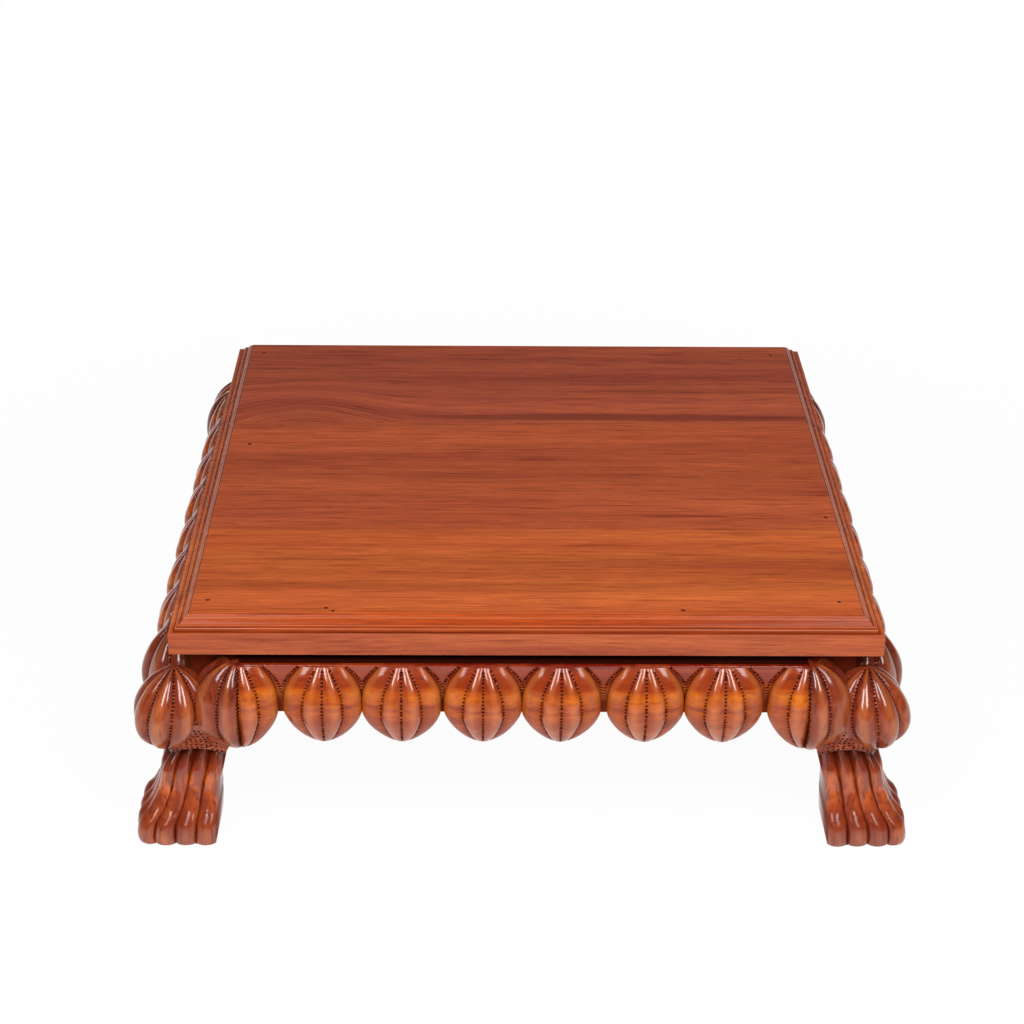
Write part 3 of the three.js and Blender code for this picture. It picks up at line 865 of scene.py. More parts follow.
def apronBulbOutline(across, isEnd):
    look = apronLook
    most = seamX / look["bulbs"] + look["overlap"]
    waistZ = ledgeZ - look["waistDrop"]
    topZ = ledgeZ - look["crownDrop"]
    bottomZ = ledgeZ - look["height"] - (look["endExtraDrop"] if isEnd else 0)
    levels = (bottomZ, waistZ, topZ)
    atLeftSeam = isEnd and across < 0
    atRightSeam = isEnd and across > 0

    def halfWidthAt(heights):
        return bulbSize(heights, levels, most, look["crownHalfWidth"], look["widthCurves"])

    def reachAt(heights):
        return bulbSize(heights, levels, look["reach"], look["crownProud"], look["reachCurves"])

    def gatherAt(heights):
        strength, power = look["gather"]
        return strength * fromWaist(heights, waistZ, topZ) ** power

    def closing(heights):
        wide = halfWidthAt(heights)
        left = across if atLeftSeam else across - wide
        right = across if atRightSeam else across + wide
        return backLines(heights, [(left, apronBackY), (right, apronBackY)])

    return bulbOutline(
        (across, bulbAxisY),
        (bottomZ, topZ),
        (0.0 if atRightSeam else -math.pi / 2, 0.0 if atLeftSeam else math.pi / 2),
        np.radians(look["grooves"]),
        closing,
        halfWidthAt,
        reachAt,
        gatherAt=gatherAt,
        dotsWithin=look["dotsWithin"],
        hasFlanks=True,
    )


def edgeRow(across, side, draw):
    # A narrow raised seam with a row of dots, along one side of a bulb on the apron's flat face
    look = seamLook
    outline = apronBulbOutline(across, False)
    heights = np.linspace(outline["ends"][1], look["bottom"], look["fineRows"])
    reachOut = outline["halfWidthAt"](heights) + look["besideBulb"]
    line = np.stack([side * reachOut, heights], axis=-1)
    lengths = lengthsAlong(line)
    even = np.linspace(0, lengths[-1], int(lengths[-1] / look["rowStep"]))
    line = np.stack([np.interp(even, lengths, values) for values in line.T], axis=-1)
    ahead = np.gradient(line, axis=0)
    ahead /= np.linalg.norm(ahead, axis=1, keepdims=True)
    aside = np.stack([-ahead[:, 1], ahead[:, 0]], axis=-1) * side
    shares = np.linspace(-1, 1, look["columns"])
    flat = line[:, None, :] + aside[:, None, :] * (shares * look["halfWidth"])[None, :, None]
    proud = faceY + look["proud"] * (1 - shares**4) - look["sunk"]
    grid = np.stack([flat[..., 0], np.broadcast_to(proud, flat.shape[:2]), flat[..., 1]], axis=-1)
    grid[..., 0] += across
    inward = np.broadcast_to([0.0, -1.0, 0.0], grid.shape)
    grid, punch = punchGrooves(grid, inward, [look["columns"] // 2], look, draw)
    rings = np.concatenate([grid, grid[:, [-1, 0]] - [0, look["deep"], 0]], axis=1)
    blank = np.zeros((len(grid), 2))
    crease = np.concatenate([np.full(punch.shape, look["tint"]), blank], axis=1)
    punch = np.concatenate([punch, blank], axis=1)
    if side > 0:
        rings, punch, crease = rings[::-1], punch[::-1], crease[::-1]
    return loft(rings, crease=crease, punch=punch)


def roundedBar(low, high, axis, ease, step, draw, darkness=(0.0, 0.0), look=barLook):
    # A bar along one axis with eased arrises, slightly uneven as hand-planed wood is.
    # Its painted shade is given for the bottom and the top
    low, high = np.array(low, float), np.array(high, float)
    first, second = [(1, 2), (2, 0), (0, 1)][axis]
    section = [first, second]
    middle = (low[section] + high[section]) / 2
    half = (high[section] - low[section]) / 2
    quarter = np.linspace(0, math.pi / 2, look["arrisPoints"])
    outline = []
    for index, (sideA, sideB) in enumerate(((1, 1), (0, 1), (0, 0), (1, 0))):
        centreA = high[first] - ease if sideA else low[first] + ease
        centreB = high[second] - ease if sideB else low[second] + ease
        for angle in quarter + index * math.pi / 2:
            outline.append((centreA + ease * math.cos(angle), centreB + ease * math.sin(angle)))
    outline = np.array(outline)
    little = ease * look["easeShare"]
    count = max(int((high[axis] - low[axis]) / step), 2)
    inner = np.linspace(low[axis] + ease, high[axis] - ease, count)
    ends = [low[axis], low[axis] + little], [high[axis] - little, high[axis]]
    places = np.concatenate([ends[0], inner, ends[1]])
    shrink = np.concatenate([[ease, little], np.zeros(count), [little, ease]])
    rings = np.zeros((len(places), len(outline), 3))
    rings[:, :, axis] = places[:, None]
    narrowing = 1 - shrink[:, None, None] / half
    rings[:, :, section] = middle + (outline - middle) * narrowing
    flat = rings.reshape(-1, 3)
    away = np.zeros_like(flat)
    away[:, section] = flat[:, section] - middle
    away /= np.maximum(np.linalg.norm(away, axis=1, keepdims=True), 1e-6)
    waves = wavering(flat, look["waveLength"], look["unevenness"], draw)
    flat = flat - away * np.abs(waves)[:, None]
    dark = np.interp(flat[:, 2], [low[2], high[2]], darkness).reshape(rings.shape[:2])
    return loft(flat.reshape(rings.shape), crease=dark)


def ledgeShadow():
    # Painted shade: a thin dark skin on the part of the ledge that the top covers
    look = shadowLook
    bottomZ, topZ = ledgeZ - look["deep"], ledgeZ + look["proud"]
    outerY = topHalf + look["past"]
    section = [(outerY, bottomZ), (outerY, topZ), (apronBackY, topZ), (apronBackY, bottomZ)]
    rings = np.array([[(x, y, z) for y, z in section] for x in (-apronEnd, apronEnd)])
    dark = np.array([look["darkness"]] * 2)
    return loft(rings, crease=dark, punch=dark * look["bareness"])


def apronSkins(apron, draw):
    # All shells of the apron on the +Y side
    look = apronLook
    webLow = [-apronEnd, apronBackY, ledgeZ - look["webHeight"]]
    webHigh = [apronEnd, faceY, ledgeZ]
    web = roundedBar(webLow, webHigh, 0, look["webEase"], look["webStep"], draw, look["webDarkness"])
    parts = [web, ledgeShadow()]
    pitch = 2 * seamX / look["bulbs"]
    for step in range(look["bulbs"] + 1):
        isEnd = step in (0, look["bulbs"])
        across = step * pitch - seamX
        if isEnd:
            across = math.copysign(apronEnd, across)
        else:
            stray = draw.uniform(-1, 1) * look["leaning"]
            across += look["frontShifts"][step - 1] if apron == "front" else stray
        parts.append(bulbSkin(apronBulbOutline(across, isEnd), draw))
        for side in (-1, 1):
            if not isEnd or side * across < 0:
                parts.append(edgeRow(across, side, draw))
    return parts


def turnParts(parts, quarterTurns):
    for part in parts:
        part["points"] = turned(part["points"], quarterTurns)
    return parts


print("bajot: aprons")
for quarterTurns, side in enumerate(sides):
    parts = turnParts(apronSkins(side, dice), quarterTurns)
    material = carvedMaterials["alongY" if quarterTurns % 2 else "alongX"]
    addPiece(camelName(f"apron_{side}"), parts, material, f"apron_{side}")


# Legs: post and block, half a bulb beside each seam, a bulb on the corner, a dotted cuff and a paw.
# Curves are (power, root) below and above the waist
legLook = {
    "postWidth": 33,
    "postEase": 0.6,
    # Painted shade: the post stands in the dark under the top
    "postDarkness": 1.0,
    "blockTopDrop": 18,
    "blockBottomDrop": 60,
    "blockInset": 2,
    "blockGap": 0.1,
    "blockEase": 1.2,
    "barStep": 6,
    "endBulbInset": 1.5,
    "endBulbHalfWidth": 33,
    "endBulbReach": 25.5,
    "endBulbHeight": 62,
    "endBulbWaistDrop": 34,
    "endBulbTopDrop": 0.3,
    "endBulbGrooves": [-150, -80, -28, 0],
    "endBulbTurn": 115,
    "endBulbCrownHalfWidth": 9,
    "endBulbCrownReach": 7,
    "endBulbWidthCurves": ((2, 0.46), (2.5, 0.7)),
    "endBulbReachCurves": ((2, 0.46), (2, 0.8)),
    "endBulbBack": [(0, 12), (14, 18)],  # across from the seam, behind the bulb's axis
    "cornerBulbInset": 2,
    "cornerBulbRadius": 26,
    "cornerBulbTopDrop": 6,
    "cornerBulbWaistDrop": 36,
    "cornerBulbHeight": 54.5,
    "cornerBulbTipPast": 0.2,
    "cornerBulbSeam": 0.02,  # radians between the first and the last line round it
    "cornerBulbRibs": 8,
    "cornerBulbCurves": ((2, 0.56), (2, 0.72)),
    "cornerBulbLeanPower": 1.3,
    # How far a corner bulb's tip and bottom lean outward, how many degrees its ribs are turned,
    # and how much smaller it is
    "cornerBulbLeans": {
        "front_left": (-1.8, 5.2, -8, 1),
        "front_right": (-4.2, 2.6, -5, 0),
        "back_left": (-1, 3, 3, 0),
        "back_right": (-2, 2.5, -2, 0),
    },
}


def endBulbOutline():
    # The leg's half of the bulb that the seam cuts, on the +Y face
    look = legLook
    axisY = topHalf - look["endBulbInset"]
    waistZ = ledgeZ - look["endBulbWaistDrop"]
    bottomZ = ledgeZ - look["endBulbHeight"]
    topZ = ledgeZ - look["endBulbTopDrop"]
    levels = (bottomZ, waistZ, topZ)

    def halfWidthAt(heights):
        most, crown = look["endBulbHalfWidth"], look["endBulbCrownHalfWidth"]
        return bulbSize(heights, levels, most, crown, look["endBulbWidthCurves"])

    def reachAt(heights):
        most, crown = look["endBulbReach"], look["endBulbCrownReach"]
        return bulbSize(heights, levels, most, crown, look["endBulbReachCurves"])

    def closing(heights):
        places = [(seamX + across, axisY - behind) for across, behind in look["endBulbBack"]]
        return backLines(heights, places)

    return bulbOutline(
        (seamX, axisY),
        (bottomZ, topZ),
        (-math.radians(look["endBulbTurn"]), 0.0),
        np.radians(look["endBulbGrooves"]),
        closing,
        halfWidthAt,
        reachAt,
    )


def cornerBulbOutline(corner):
    look = legLook
    place = topHalf - look["cornerBulbInset"]
    tipZ = ledgeZ - look["cornerBulbTopDrop"]
    waistZ = ledgeZ - look["cornerBulbWaistDrop"]
    bottomZ = tipZ - look["cornerBulbHeight"]
    tipLean, bottomLean, turn, smaller = look["cornerBulbLeans"][corner]

    def sizeAt(heights):
        levels = (bottomZ, waistZ, tipZ + look["cornerBulbTipPast"])
        most = look["cornerBulbRadius"] - smaller
        return bulbSize(heights, levels, most, 0, look["cornerBulbCurves"])

    def leanAt(heights):
        share = fromWaist(heights, tipZ, bottomZ) ** look["cornerBulbLeanPower"]
        return tipLean + (bottomLean - tipLean) * share

    def closing(heights):
        return np.zeros((len(heights), 0, 3))

    return bulbOutline(
        (place, place),
        (bottomZ, tipZ),
        (-math.pi, math.pi - look["cornerBulbSeam"]),
        evenGrooves(look["cornerBulbRibs"], math.radians(turn)),
        closing,
        sizeAt,
        sizeAt,
        leanAt=leanAt,
    )


# The paw: four fingers on each outer face, with knuckles below the cuff and rounded pads on the floor.
# Lines are (height, value); the outer line is how far the faces stand from the middle of the table.
pawLook = {
    "rowStep": 0.46,
    "columnsPerFinger": 26,
    "fingers": 4,
    "top": 86,
    "cuffZ": 61.5,
    "cuffLedge": 0.2,  # the rows of the fingers end this far above the cuff line
    "archDrop": 4,
    "archPeak": 0.475,  # share of the way from the seam side to the corner
    "archFrom": 38,  # rows below this height don't follow the arch of the cuff
    "archFullBelowCuff": 2,
    "archTo": (65, 74),
    "unevenness": 0.5,
    "waveLength": 14,
    "lineEase": 2.2,
    "innerCut": 7,
    "outer": [
        (0, 253.4), (1.0, 254.4), (5, 254.7), (9, 254.5), (13, 253.5), (15.5, 252.2),
        (18, 249.6), (21, 246.6), (27, 243.0), (34, 239.8), (40, 238.4), (45, 238.0),
        (50, 236.8), (55, 234.6), (61, 230.6),
    ],
    "cuffOuter": [(61.8, 232.4), (65, 233.6), (69, 235.8), (74, 238.6), (80, 241.0), (86, 241.4)],
    "inner": [
        (0, 200.8), (8, 200.2), (18, 199.8), (30, 199.6), (38, 198.8), (45, 196.6), (50, 195.4),
        (56, 194.8), (63, 194.2), (70, 189.4), (86, 185.2),
    ],
    "groove": [
        (0, 3.4), (3, 4.6), (9, 5.6), (14, 5.2), (20, 4.1), (27, 3.8), (38, 4.0), (46, 4.6),
        (53, 6.2), (61, 7.0),
    ],
    "sharpness": [
        (0, 0.6), (8, 0.5), (18, 0.5), (27, 0.48), (40, 0.45), (48, 0.6), (54, 1), (61, 1.1),
    ],
    "pad": (7, 7),  # height of the pads' middle, and how far they reach from it
    "padGrowth": (-0.9, 0.05),
    "grooveShadeDepths": (2.2, 5.0),  # of a groove, where the painted shade begins and is full
    "toeDarkening": 0.58,  # darker and less glossy on the bend above the pads
    "toeBend": (17, 6),
    "rubbedDepth": 0.25,
    "rubbed": 0.6,
    "dotSpacing": 3.4,
    "dotRadius": 0.9,
    "dotDepth": 1.1,
    "dotsFrom": 63.4,
    "dotsTo": 83.0,
    "dotRowShare": 0.86,  # from row to row, of the spacing along a row
    "dotStart": 1.6,
    "dotEndShare": 0.97,
    "dotCornerShare": 0.95,  # dots keep their spacing round the corner of the leg
    "dotStrays": 0.35,
    "dotRowStrays": (-1, 2),  # the second is left out
    "plainRows": 5,  # at the top of the cuff
    "dotRadiusShares": (0.75, 1.1),
}


def bellAt(values, middle, reach):
    return np.exp(-(((values - middle) / reach) ** 2))


def lineAt(points, heights):
    # A smooth line through some points: straight pieces, eased over a few millimetres
    places, values = np.array(points, float).T
    room = np.minimum(np.abs(heights - places[0]), np.abs(places[-1] - heights))
    room = room.clip(0, pawLook["lineEase"])
    around = heights[:, None] + room[:, None] * np.linspace(-1, 1, 9)[None, :]
    return np.interp(around, places, values).mean(axis=1)


def pawLines():
    # Rows of the paw from the floor up: where its faces stand and how its fingers are cut
    look = pawLook
    heights = np.arange(0, look["top"], look["rowStep"])
    below = heights < look["cuffZ"] + look["cuffLedge"]
    low = np.minimum(heights, look["outer"][-1][0])
    high = np.maximum(heights, look["cuffOuter"][0][0])
    return {
        "heights": heights,
        "outer": np.where(below, lineAt(look["outer"], low), lineAt(look["cuffOuter"], high)),
        "inner": lineAt(look["inner"], heights),
        "groove": np.where(below, lineAt(look["groove"], low), 0.0),
        "sharpness": lineAt(look["sharpness"], low),
    }


def pawArch(heights, along, quarter):
    # Rows near the cuff are highest in the middle of each face
    look = pawLook
    onFace = along / look["fingers"]
    onCorner = 1 - np.abs(2 * quarter - 1) / look["fingers"]
    share = np.concatenate([[0, 0], onFace, onCorner, onFace[::-1]])
    away = ((share - look["archPeak"]) / look["archPeak"]) ** 2
    fullFrom = look["cuffZ"] - look["archFullBelowCuff"]
    rising = smoothStep(heights, look["archFrom"], fullFrom)
    falling = 1 - smoothStep(heights, *look["archTo"])
    return heights[:, None] - look["archDrop"] * (rising * falling)[:, None] * away[None, :]


def cuffDots(grid, inward, lines, draw):
    # Staggered rows of dots on both faces, above the cuff line
    look = pawLook
    punch = np.zeros(grid.shape[:2])
    moved = grid.copy()
    perFinger, spacing = look["columnsPerFinger"], look["dotSpacing"]
    lastOnFace = (look["fingers"] - 1) * perFinger
    levels = np.arange(look["dotsFrom"], look["dotsTo"], spacing * look["dotRowShare"])
    for level, height in enumerate(levels):
        row = int(round(height / look["rowStep"]))
        faceLength = lines["outer"][row] - lines["inner"][row]
        columnsPerMm = look["fingers"] * perFinger / faceLength
        start = look["dotStart"] + (level % 2) * spacing / 2
        places = np.arange(start, faceLength * look["dotEndShare"], spacing)
        for first, direction in ((2, 1), (grid.shape[1] - 1, -1)):
            strays = draw.uniform(-look["dotStrays"], look["dotStrays"], len(places))
            for offset in (places + strays) * columnsPerMm:
                pastCorner = max(offset - lastOnFace, 0) * look["dotCornerShare"]
                column = first + direction * int(round(min(offset, lastOnFace) + pastCorner))
                dotRow = row + int(draw.integers(*look["dotRowStrays"]))
                dotRow = min(dotRow, len(grid) - look["plainRows"])
                radius = look["dotRadius"] * draw.uniform(*look["dotRadiusShares"])
                punchHole(grid, moved, punch, inward, dotRow, column, radius, look["dotDepth"])
    return moved, punch


def pawSkin(draw):
    look = pawLook
    lines = pawLines()
    heights, outer, inner = lines["heights"], lines["outer"], lines["inner"]
    groove, sharpness = lines["groove"][:, None], lines["sharpness"][:, None]
    perFinger, fingers = look["columnsPerFinger"], look["fingers"]
    along = np.arange(0, (fingers - 1) * perFinger + 1) / perFinger
    quarter = np.linspace(0, 1, perFinger * 2 - 2)[1:-1]
    toeWidth = ((outer - inner) / fingers)[:, None]
    pad = bellAt(heights, *look["pad"])[:, None]
    growth = draw.uniform(*look["padGrowth"], size=(2, fingers))
    finger = np.minimum(np.floor(along), fingers - 2).astype(int)
    phase = np.mod(along, 1)
    cut = groove * (1 - np.abs(np.sin(math.pi * phase)) ** sharpness)
    cornerCut = groove * (1 - np.abs(np.sin(math.pi * quarter)) ** sharpness)

    def facePoints(faceGrowth):
        bulge = pad * faceGrowth[finger] * np.sin(math.pi * phase)
        return outer[:, None] - cut + bulge

    alongFace = inner[:, None] + toeWidth * along
    rightFace = np.stack([facePoints(growth[0]), alongFace], axis=-1)
    backFace = np.stack([alongFace, facePoints(growth[1])], axis=-1)[:, ::-1]
    cornerStart = outer[:, None] - toeWidth
    cornerReach = toeWidth - cornerCut
    angles = quarter * math.pi / 2
    cornerPoints = [cornerStart + cornerReach * turn for turn in (np.cos(angles), np.sin(angles))]
    cutEnd = inner + look["innerCut"]
    inside = np.stack([inner, cutEnd, cutEnd, inner], axis=-1).reshape(-1, 2, 2)
    flat = np.concatenate([inside, rightFace, np.stack(cornerPoints, axis=-1), backFace], axis=1)
    grid = np.concatenate([flat, pawArch(heights, along, quarter)[..., None]], axis=-1)
    outward = flat - ((inner + outer) / 2)[:, None, None]
    outward /= np.linalg.norm(outward, axis=-1, keepdims=True)
    inward = np.concatenate([-outward, np.zeros(outward.shape[:2] + (1,))], axis=-1)
    waves = wavering(grid.reshape(-1, 3), look["waveLength"], look["unevenness"], draw)
    grid = grid + inward * np.abs(waves).reshape(grid.shape[:2])[..., None]
    grid, punch = cuffDots(grid, inward, lines, draw)
    blank = np.zeros((len(heights), 2))
    depth = np.concatenate([blank, cut, cornerCut, cut[:, ::-1]], axis=1)
    toeDarkening = look["toeDarkening"] * bellAt(heights, *look["toeBend"])[:, None]
    # Painted shade in the grooves between the fingers
    crease = np.maximum(smoothStep(depth, *look["grooveShadeDepths"]), toeDarkening)
    wear = np.where(depth < look["rubbedDepth"], look["rubbed"], 0.0) * pad
    return loft(grid, crease=crease, punch=punch, wear=wear)


def legSkins(corner, draw):
    look = legLook
    bottom = ledgeZ - look["blockBottomDrop"]
    postEnd = seamX + look["postWidth"]
    postLow, postHigh = [seamX, seamX, bottom], [postEnd, postEnd, undersideZ]
    dark = (look["postDarkness"], look["postDarkness"])
    post = roundedBar(postLow, postHigh, 2, look["postEase"], look["barStep"], draw, dark)
    start, end = seamX + look["blockGap"], topHalf - look["blockInset"]
    blockLow, blockHigh = [start, start, bottom], [end, end, ledgeZ - look["blockTopDrop"]]
    block = roundedBar(blockLow, blockHigh, 2, look["blockEase"], look["barStep"], draw)
    endBulb = bulbSkin(endBulbOutline(), draw)
    sideBulb = mirrored(bulbSkin(endBulbOutline(), draw))
    cornerBulb = bulbSkin(cornerBulbOutline(corner), draw)
    return [post, block, endBulb, sideBulb, cornerBulb, pawSkin(draw)]


print("bajot: legs")
for quarterTurns, corner in enumerate(corners):
    parts = turnParts(legSkins(corner, dice), quarterTurns)
    material = carvedMaterials["upright"]
    addPiece(camelName(f"leg_{corner}"), parts, material, f"leg_{corner}")


# Top boards: one moulding round the four outer sides, flat field inside, joints between the boards
topLook = {
    "fieldStep": 9.0,
    "jointDepth": 0.06,
    "jointWidth": 0.5,
    "jointDarkness": 0.3,
    "undersideEase": 0.5,
    "dimpleRadius": 1.9,
    "dimpleEdgeShares": (0.6, 1.1),
    "dimpleDepth": 0.35,
    "dimpleDarkness": 0.8,
    "nailMargin": 4,  # nails farther than this inside a board get their dimple in it
    "fineRoundNails": [-2.2, -1.8, -1.4, -1.0, -0.5, 0, 0.5, 1.0, 1.4, 1.8, 2.2],
    "sharpFrom": 25,  # degrees between two faces
}
mouldingDrop = 9.2
# Painted highlights along the moulding's arrises: (inward from the edge, half width)
arrisHighlights = [(0.45, 0.2), (4.6, 0.4), (6.0, 0.35), (10.2, 0.4), (12.95, 0.2)]
# (inward from the edge, height above the moulding's ledge, painted shade in the corner)
moulding = np.array([
    (0.0, -0.6, 0.0), (0.2, -0.15, 0.0), (0.6, 0.0, 0.0), (2.6, -0.05, 0.15), (3.3, -0.35, 0.6),
    (3.9, -0.35, 0.9), (4.15, 1.8, 0.2), (4.5, 2.15, 0.0), (5.1, 2.2, 0.3), (5.3, 2.1, 0.9),
    (5.45, 3.3, 0.2), (5.75, 3.75, 0.0), (6.4, 3.85, 0.0), (6.75, 3.6, 0.4), (6.95, 3.4, 0.9),
    (7.25, 3.55, 0.5), (7.8, 4.2, 0.35), (8.5, 5.0, 0.2), (9.0, 5.7, 0.2), (9.5, 6.5, 0.35),
    (10.0, 7.0, 0.3), (10.6, 7.2, 0.15), (11.1, 7.6, 0.2), (11.8, 8.4, 0.1), (12.2, 8.6, 0.1),
    (12.4, 8.3, 0.8), (12.6, 8.25, 0.9), (12.85, 9.05, 0.1), (13.3, 9.2, 0.0), (13.9, 9.2, 0.0),
])
nailNames = [
    "front_left_corner", "front_right_corner", "back_left_corner", "back_right_corner",
    "left_side", "right_side", "front_left", "front_left_second", "front_right",
]
nailBoxes = {name: boxOf(f"top_nail_{name}") for name in nailNames}


def boardLines(low, high, lowMoulded, highMoulded, nails):
    # Places of the grid lines across a board: along the moulding's steps, the field and round nails
    look = topLook
    joint = np.array([0, look["jointWidth"]])
    fromLow = moulding[:, 0] if lowMoulded else joint
    fromHigh = moulding[:, 0] if highMoulded else joint
    start, end = low + fromLow[-1], high - fromHigh[-1]
    middle = np.linspace(start, end, max(int((end - start) / look["fieldStep"]), 2) + 1)[1:-1]
    fine = [nail + offset for nail in nails for offset in look["fineRoundNails"]]
    lines = np.concatenate([low + fromLow, middle, fine, high - fromHigh])
    return np.unique(np.round(lines, 4))


def boardSkin(low, high, frontMoulded, backMoulded, nails):
    look = topLook
    xs = boardLines(low[0], high[0], True, True, [nail[0] for nail in nails])
    ys = boardLines(low[1], high[1], frontMoulded, backMoulded, [nail[1] for nail in nails])
    x, y = np.meshgrid(xs, ys)
    fromFront, fromBack = y - low[1], high[1] - y
    far = np.full(x.shape, 1000.0)
    inward = np.minimum(x - low[0], high[0] - x)
    inward = np.minimum(inward, fromFront if frontMoulded else far)
    inward = np.minimum(inward, fromBack if backMoulded else far)
    z = high[2] - mouldingDrop + np.interp(inward, moulding[:, 0], moulding[:, 1])
    # Painted shade in the corners of the moulding
    crease = np.interp(inward, moulding[:, 0], moulding[:, 2])
    # Painted highlight along the arrises of the moulding
    wear = sum(bellAt(inward, place, half) for place, half in arrisHighlights)
    joint = np.minimum(far if frontMoulded else fromFront, far if backMoulded else fromBack)
    atJoint = joint < look["jointWidth"] / 2
    z = z - np.where(atJoint, look["jointDepth"], 0)
    crease = np.maximum(crease, np.where(atJoint, look["jointDarkness"], 0))
    flat, rim = look["dimpleEdgeShares"]
    for nail in nails:
        distance = np.hypot(x - nail[0], y - nail[1])
        share = 1 - smoothStep(distance, look["dimpleRadius"] * flat, look["dimpleRadius"] * rim)
        z = z - look["dimpleDepth"] * share
        crease = np.maximum(crease, share * look["dimpleDarkness"])
    return gridSkin(np.stack([x, y, z], axis=-1), crease, wear, low[2], inward)


def gridSkin(grid, crease, wear, bottomZ, inward):
    # The upper side of a board as a grid, its edges as a skirt and its underside as a fan
    rows, columns = grid.shape[:2]
    number = np.arange(rows * columns).reshape(rows, columns)
    a, b = number[:-1, :-1].ravel(), number[:-1, 1:].ravel()
    c, d = number[1:, 1:].ravel(), number[1:, :-1].ravel()
    # Each cell is cut along the diagonal that keeps the mitres of the moulding sharp
    flat = inward.ravel()
    alongAC = np.abs(flat[b] - flat[d]) <= np.abs(flat[a] - flat[c])
    first = np.where(alongAC[:, None], np.stack([a, b, c], -1), np.stack([a, b, d], -1))
    second = np.where(alongAC[:, None], np.stack([a, c, d], -1), np.stack([b, c, d], -1))
    edge = np.concatenate([number[0, :-1], number[:-1, -1], number[-1, :0:-1], number[:0:-1, 0]])
    points = grid.reshape(-1, 3)
    rim = points[edge]
    middle = rim.mean(axis=0)
    ease = topLook["undersideEase"]
    lower = rim.copy()
    lower[:, 2] = bottomZ + ease
    lowest = rim.copy()
    lowest[:, :2] -= np.sign(rim[:, :2] - middle[:2]) * ease * onRim(rim)
    lowest[:, 2] = bottomZ
    count = len(edge)
    start = rows * columns
    ring = np.arange(count)
    following = np.roll(ring, -1)
    skirt = np.stack([start + ring, start + following, edge[following], edge[ring]], axis=-1)
    hem = np.stack(
        [start + count + ring, start + count + following, start + following, start + ring], axis=-1
    )
    centre = np.full(count, start + 2 * count)
    under = np.stack([centre, start + count + following, start + count + ring], axis=-1)
    middle[2] = bottomZ
    everyPoint = np.concatenate([points, lower, lowest, [middle]])
    blank = np.zeros(2 * count + 1)
    quads = np.concatenate([skirt, hem])
    return shell(
        everyPoint,
        quads,
        np.concatenate([first, second, under]),
        crease=np.concatenate([crease.ravel(), blank]),
        wear=np.concatenate([wear.ravel(), blank]),
    )


def onRim(rim):
    # Which of x and y lies on the rectangle's edge, for every point of the rim
    low, high = rim[:, :2].min(axis=0), rim[:, :2].max(axis=0)
    return ((rim[:, :2] - low < 1e-4) | (high - rim[:, :2] < 1e-4)).astype(float)


print("bajot: top")
for board in topBoards:
    low, high = boxOf(f"top_board_{board}")
    nails = [(nailLow + nailHigh) / 2 for nailLow, nailHigh in nailBoxes.values()]
    margin = topLook["nailMargin"]
    nails = [nail for nail in nails if low[1] + margin < nail[1] < high[1] - margin]
    skin = boardSkin(low, high, board == "front", board == "back", nails)
    node = f"top_board_{board}"
    addPiece(camelName(node), [skin], topMaterials[board], node, topLook["sharpFrom"])


# Nails of the top: the head sits in a small dimple under dark filler
nailLook = {
    "fillerBelowTop": 0.1,
    "segments": 28,
    "unevenness": 0.12,
    "headShare": 0.94,  # of the radius that the frame's nail has
    "shankShare": 0.66,  # of the head's radius
    "underHead": 1.9,
    "tip": 5,
    "tipRadius": 0.1,
    # Drop below the top of the filler, and share of the head's radius
    "head": [(1.2, 0.95), (0.35, 1.0), (0.2, 0.93), (0.1, 0.8), (0.03, 0.5), (0, 0.2)],
}
fillerTones = {
    "dark": (0.03, 0.008, 0.004),
    "light": (0.11, 0.03, 0.012),
    "metallic": 0.0,
    "roughness": 0.4,
    "unevenness": 0.3,
    "spots": 900.0,
    "spotRange": (0.4, 0.65),
    "bump": (0.0002, 0.5),
}


def spottedFinish(name, tones):
    # Two tones in spots, with a roughness that strays with them
    material, tree, surface = startMaterial(name)
    spotPlace = grainPlace(tree, objectPlace(tree), 2, tones["spots"], tones["spots"])
    spots = noiseOf(tree, spotPlace, *patchyNoise)
    share = between(tree, spots, *tones["spotRange"])
    colour = mixColour(tree, share, tones["dark"], tones["light"])
    finishSurface(tree, surface, colour, unevenGloss(tree, spots, tones), spots, tones["bump"])
    surface.inputs["Metallic"].default_value = tones["metallic"]
    return material


def ringAt(angles, radius, height):
    x, y = radius * np.cos(angles), radius * np.sin(angles)
    return np.stack([x, y, np.broadcast_to(height, angles.shape)], axis=-1)


def nailSkin(low, high, draw):
    # Rings round Z, slightly out of round
    look = nailLook
    headRadius = (high[0] - low[0]) / 2 * look["headShare"]
    shank = headRadius * look["shankShare"]
    top = high[2] - look["fillerBelowTop"]
    profile = [(low[2], look["tipRadius"]), (low[2] + look["tip"], shank)]
    profile.append((top - look["underHead"], shank))
    profile += [(top - drop, headRadius * share) for drop, share in look["head"]]
    angles = np.linspace(0, 2 * math.pi, look["segments"], endpoint=False)
    oval = 0.5 * np.sin(2 * angles + draw.uniform(0, 6))
    corners = 0.5 * np.sin(3 * angles + draw.uniform(0, 6))
    wobble = 1 + look["unevenness"] * (oval + corners)
    skin = loft(np.array([ringAt(angles, radius * wobble, height) for height, radius in profile]))
    middle = (low + high) / 2
    skin["points"] = skin["points"] + [middle[0], middle[1], 0]
    return skin


print("bajot: nails")
fillerMaterial = spottedFinish("nailFiller", fillerTones)
for name, (low, high) in nailBoxes.items():
    skin = nailSkin(low, high, dice)
    addPiece(camelName(f"nail_{name}"), [skin], fillerMaterial, f"top_nail_{name}")
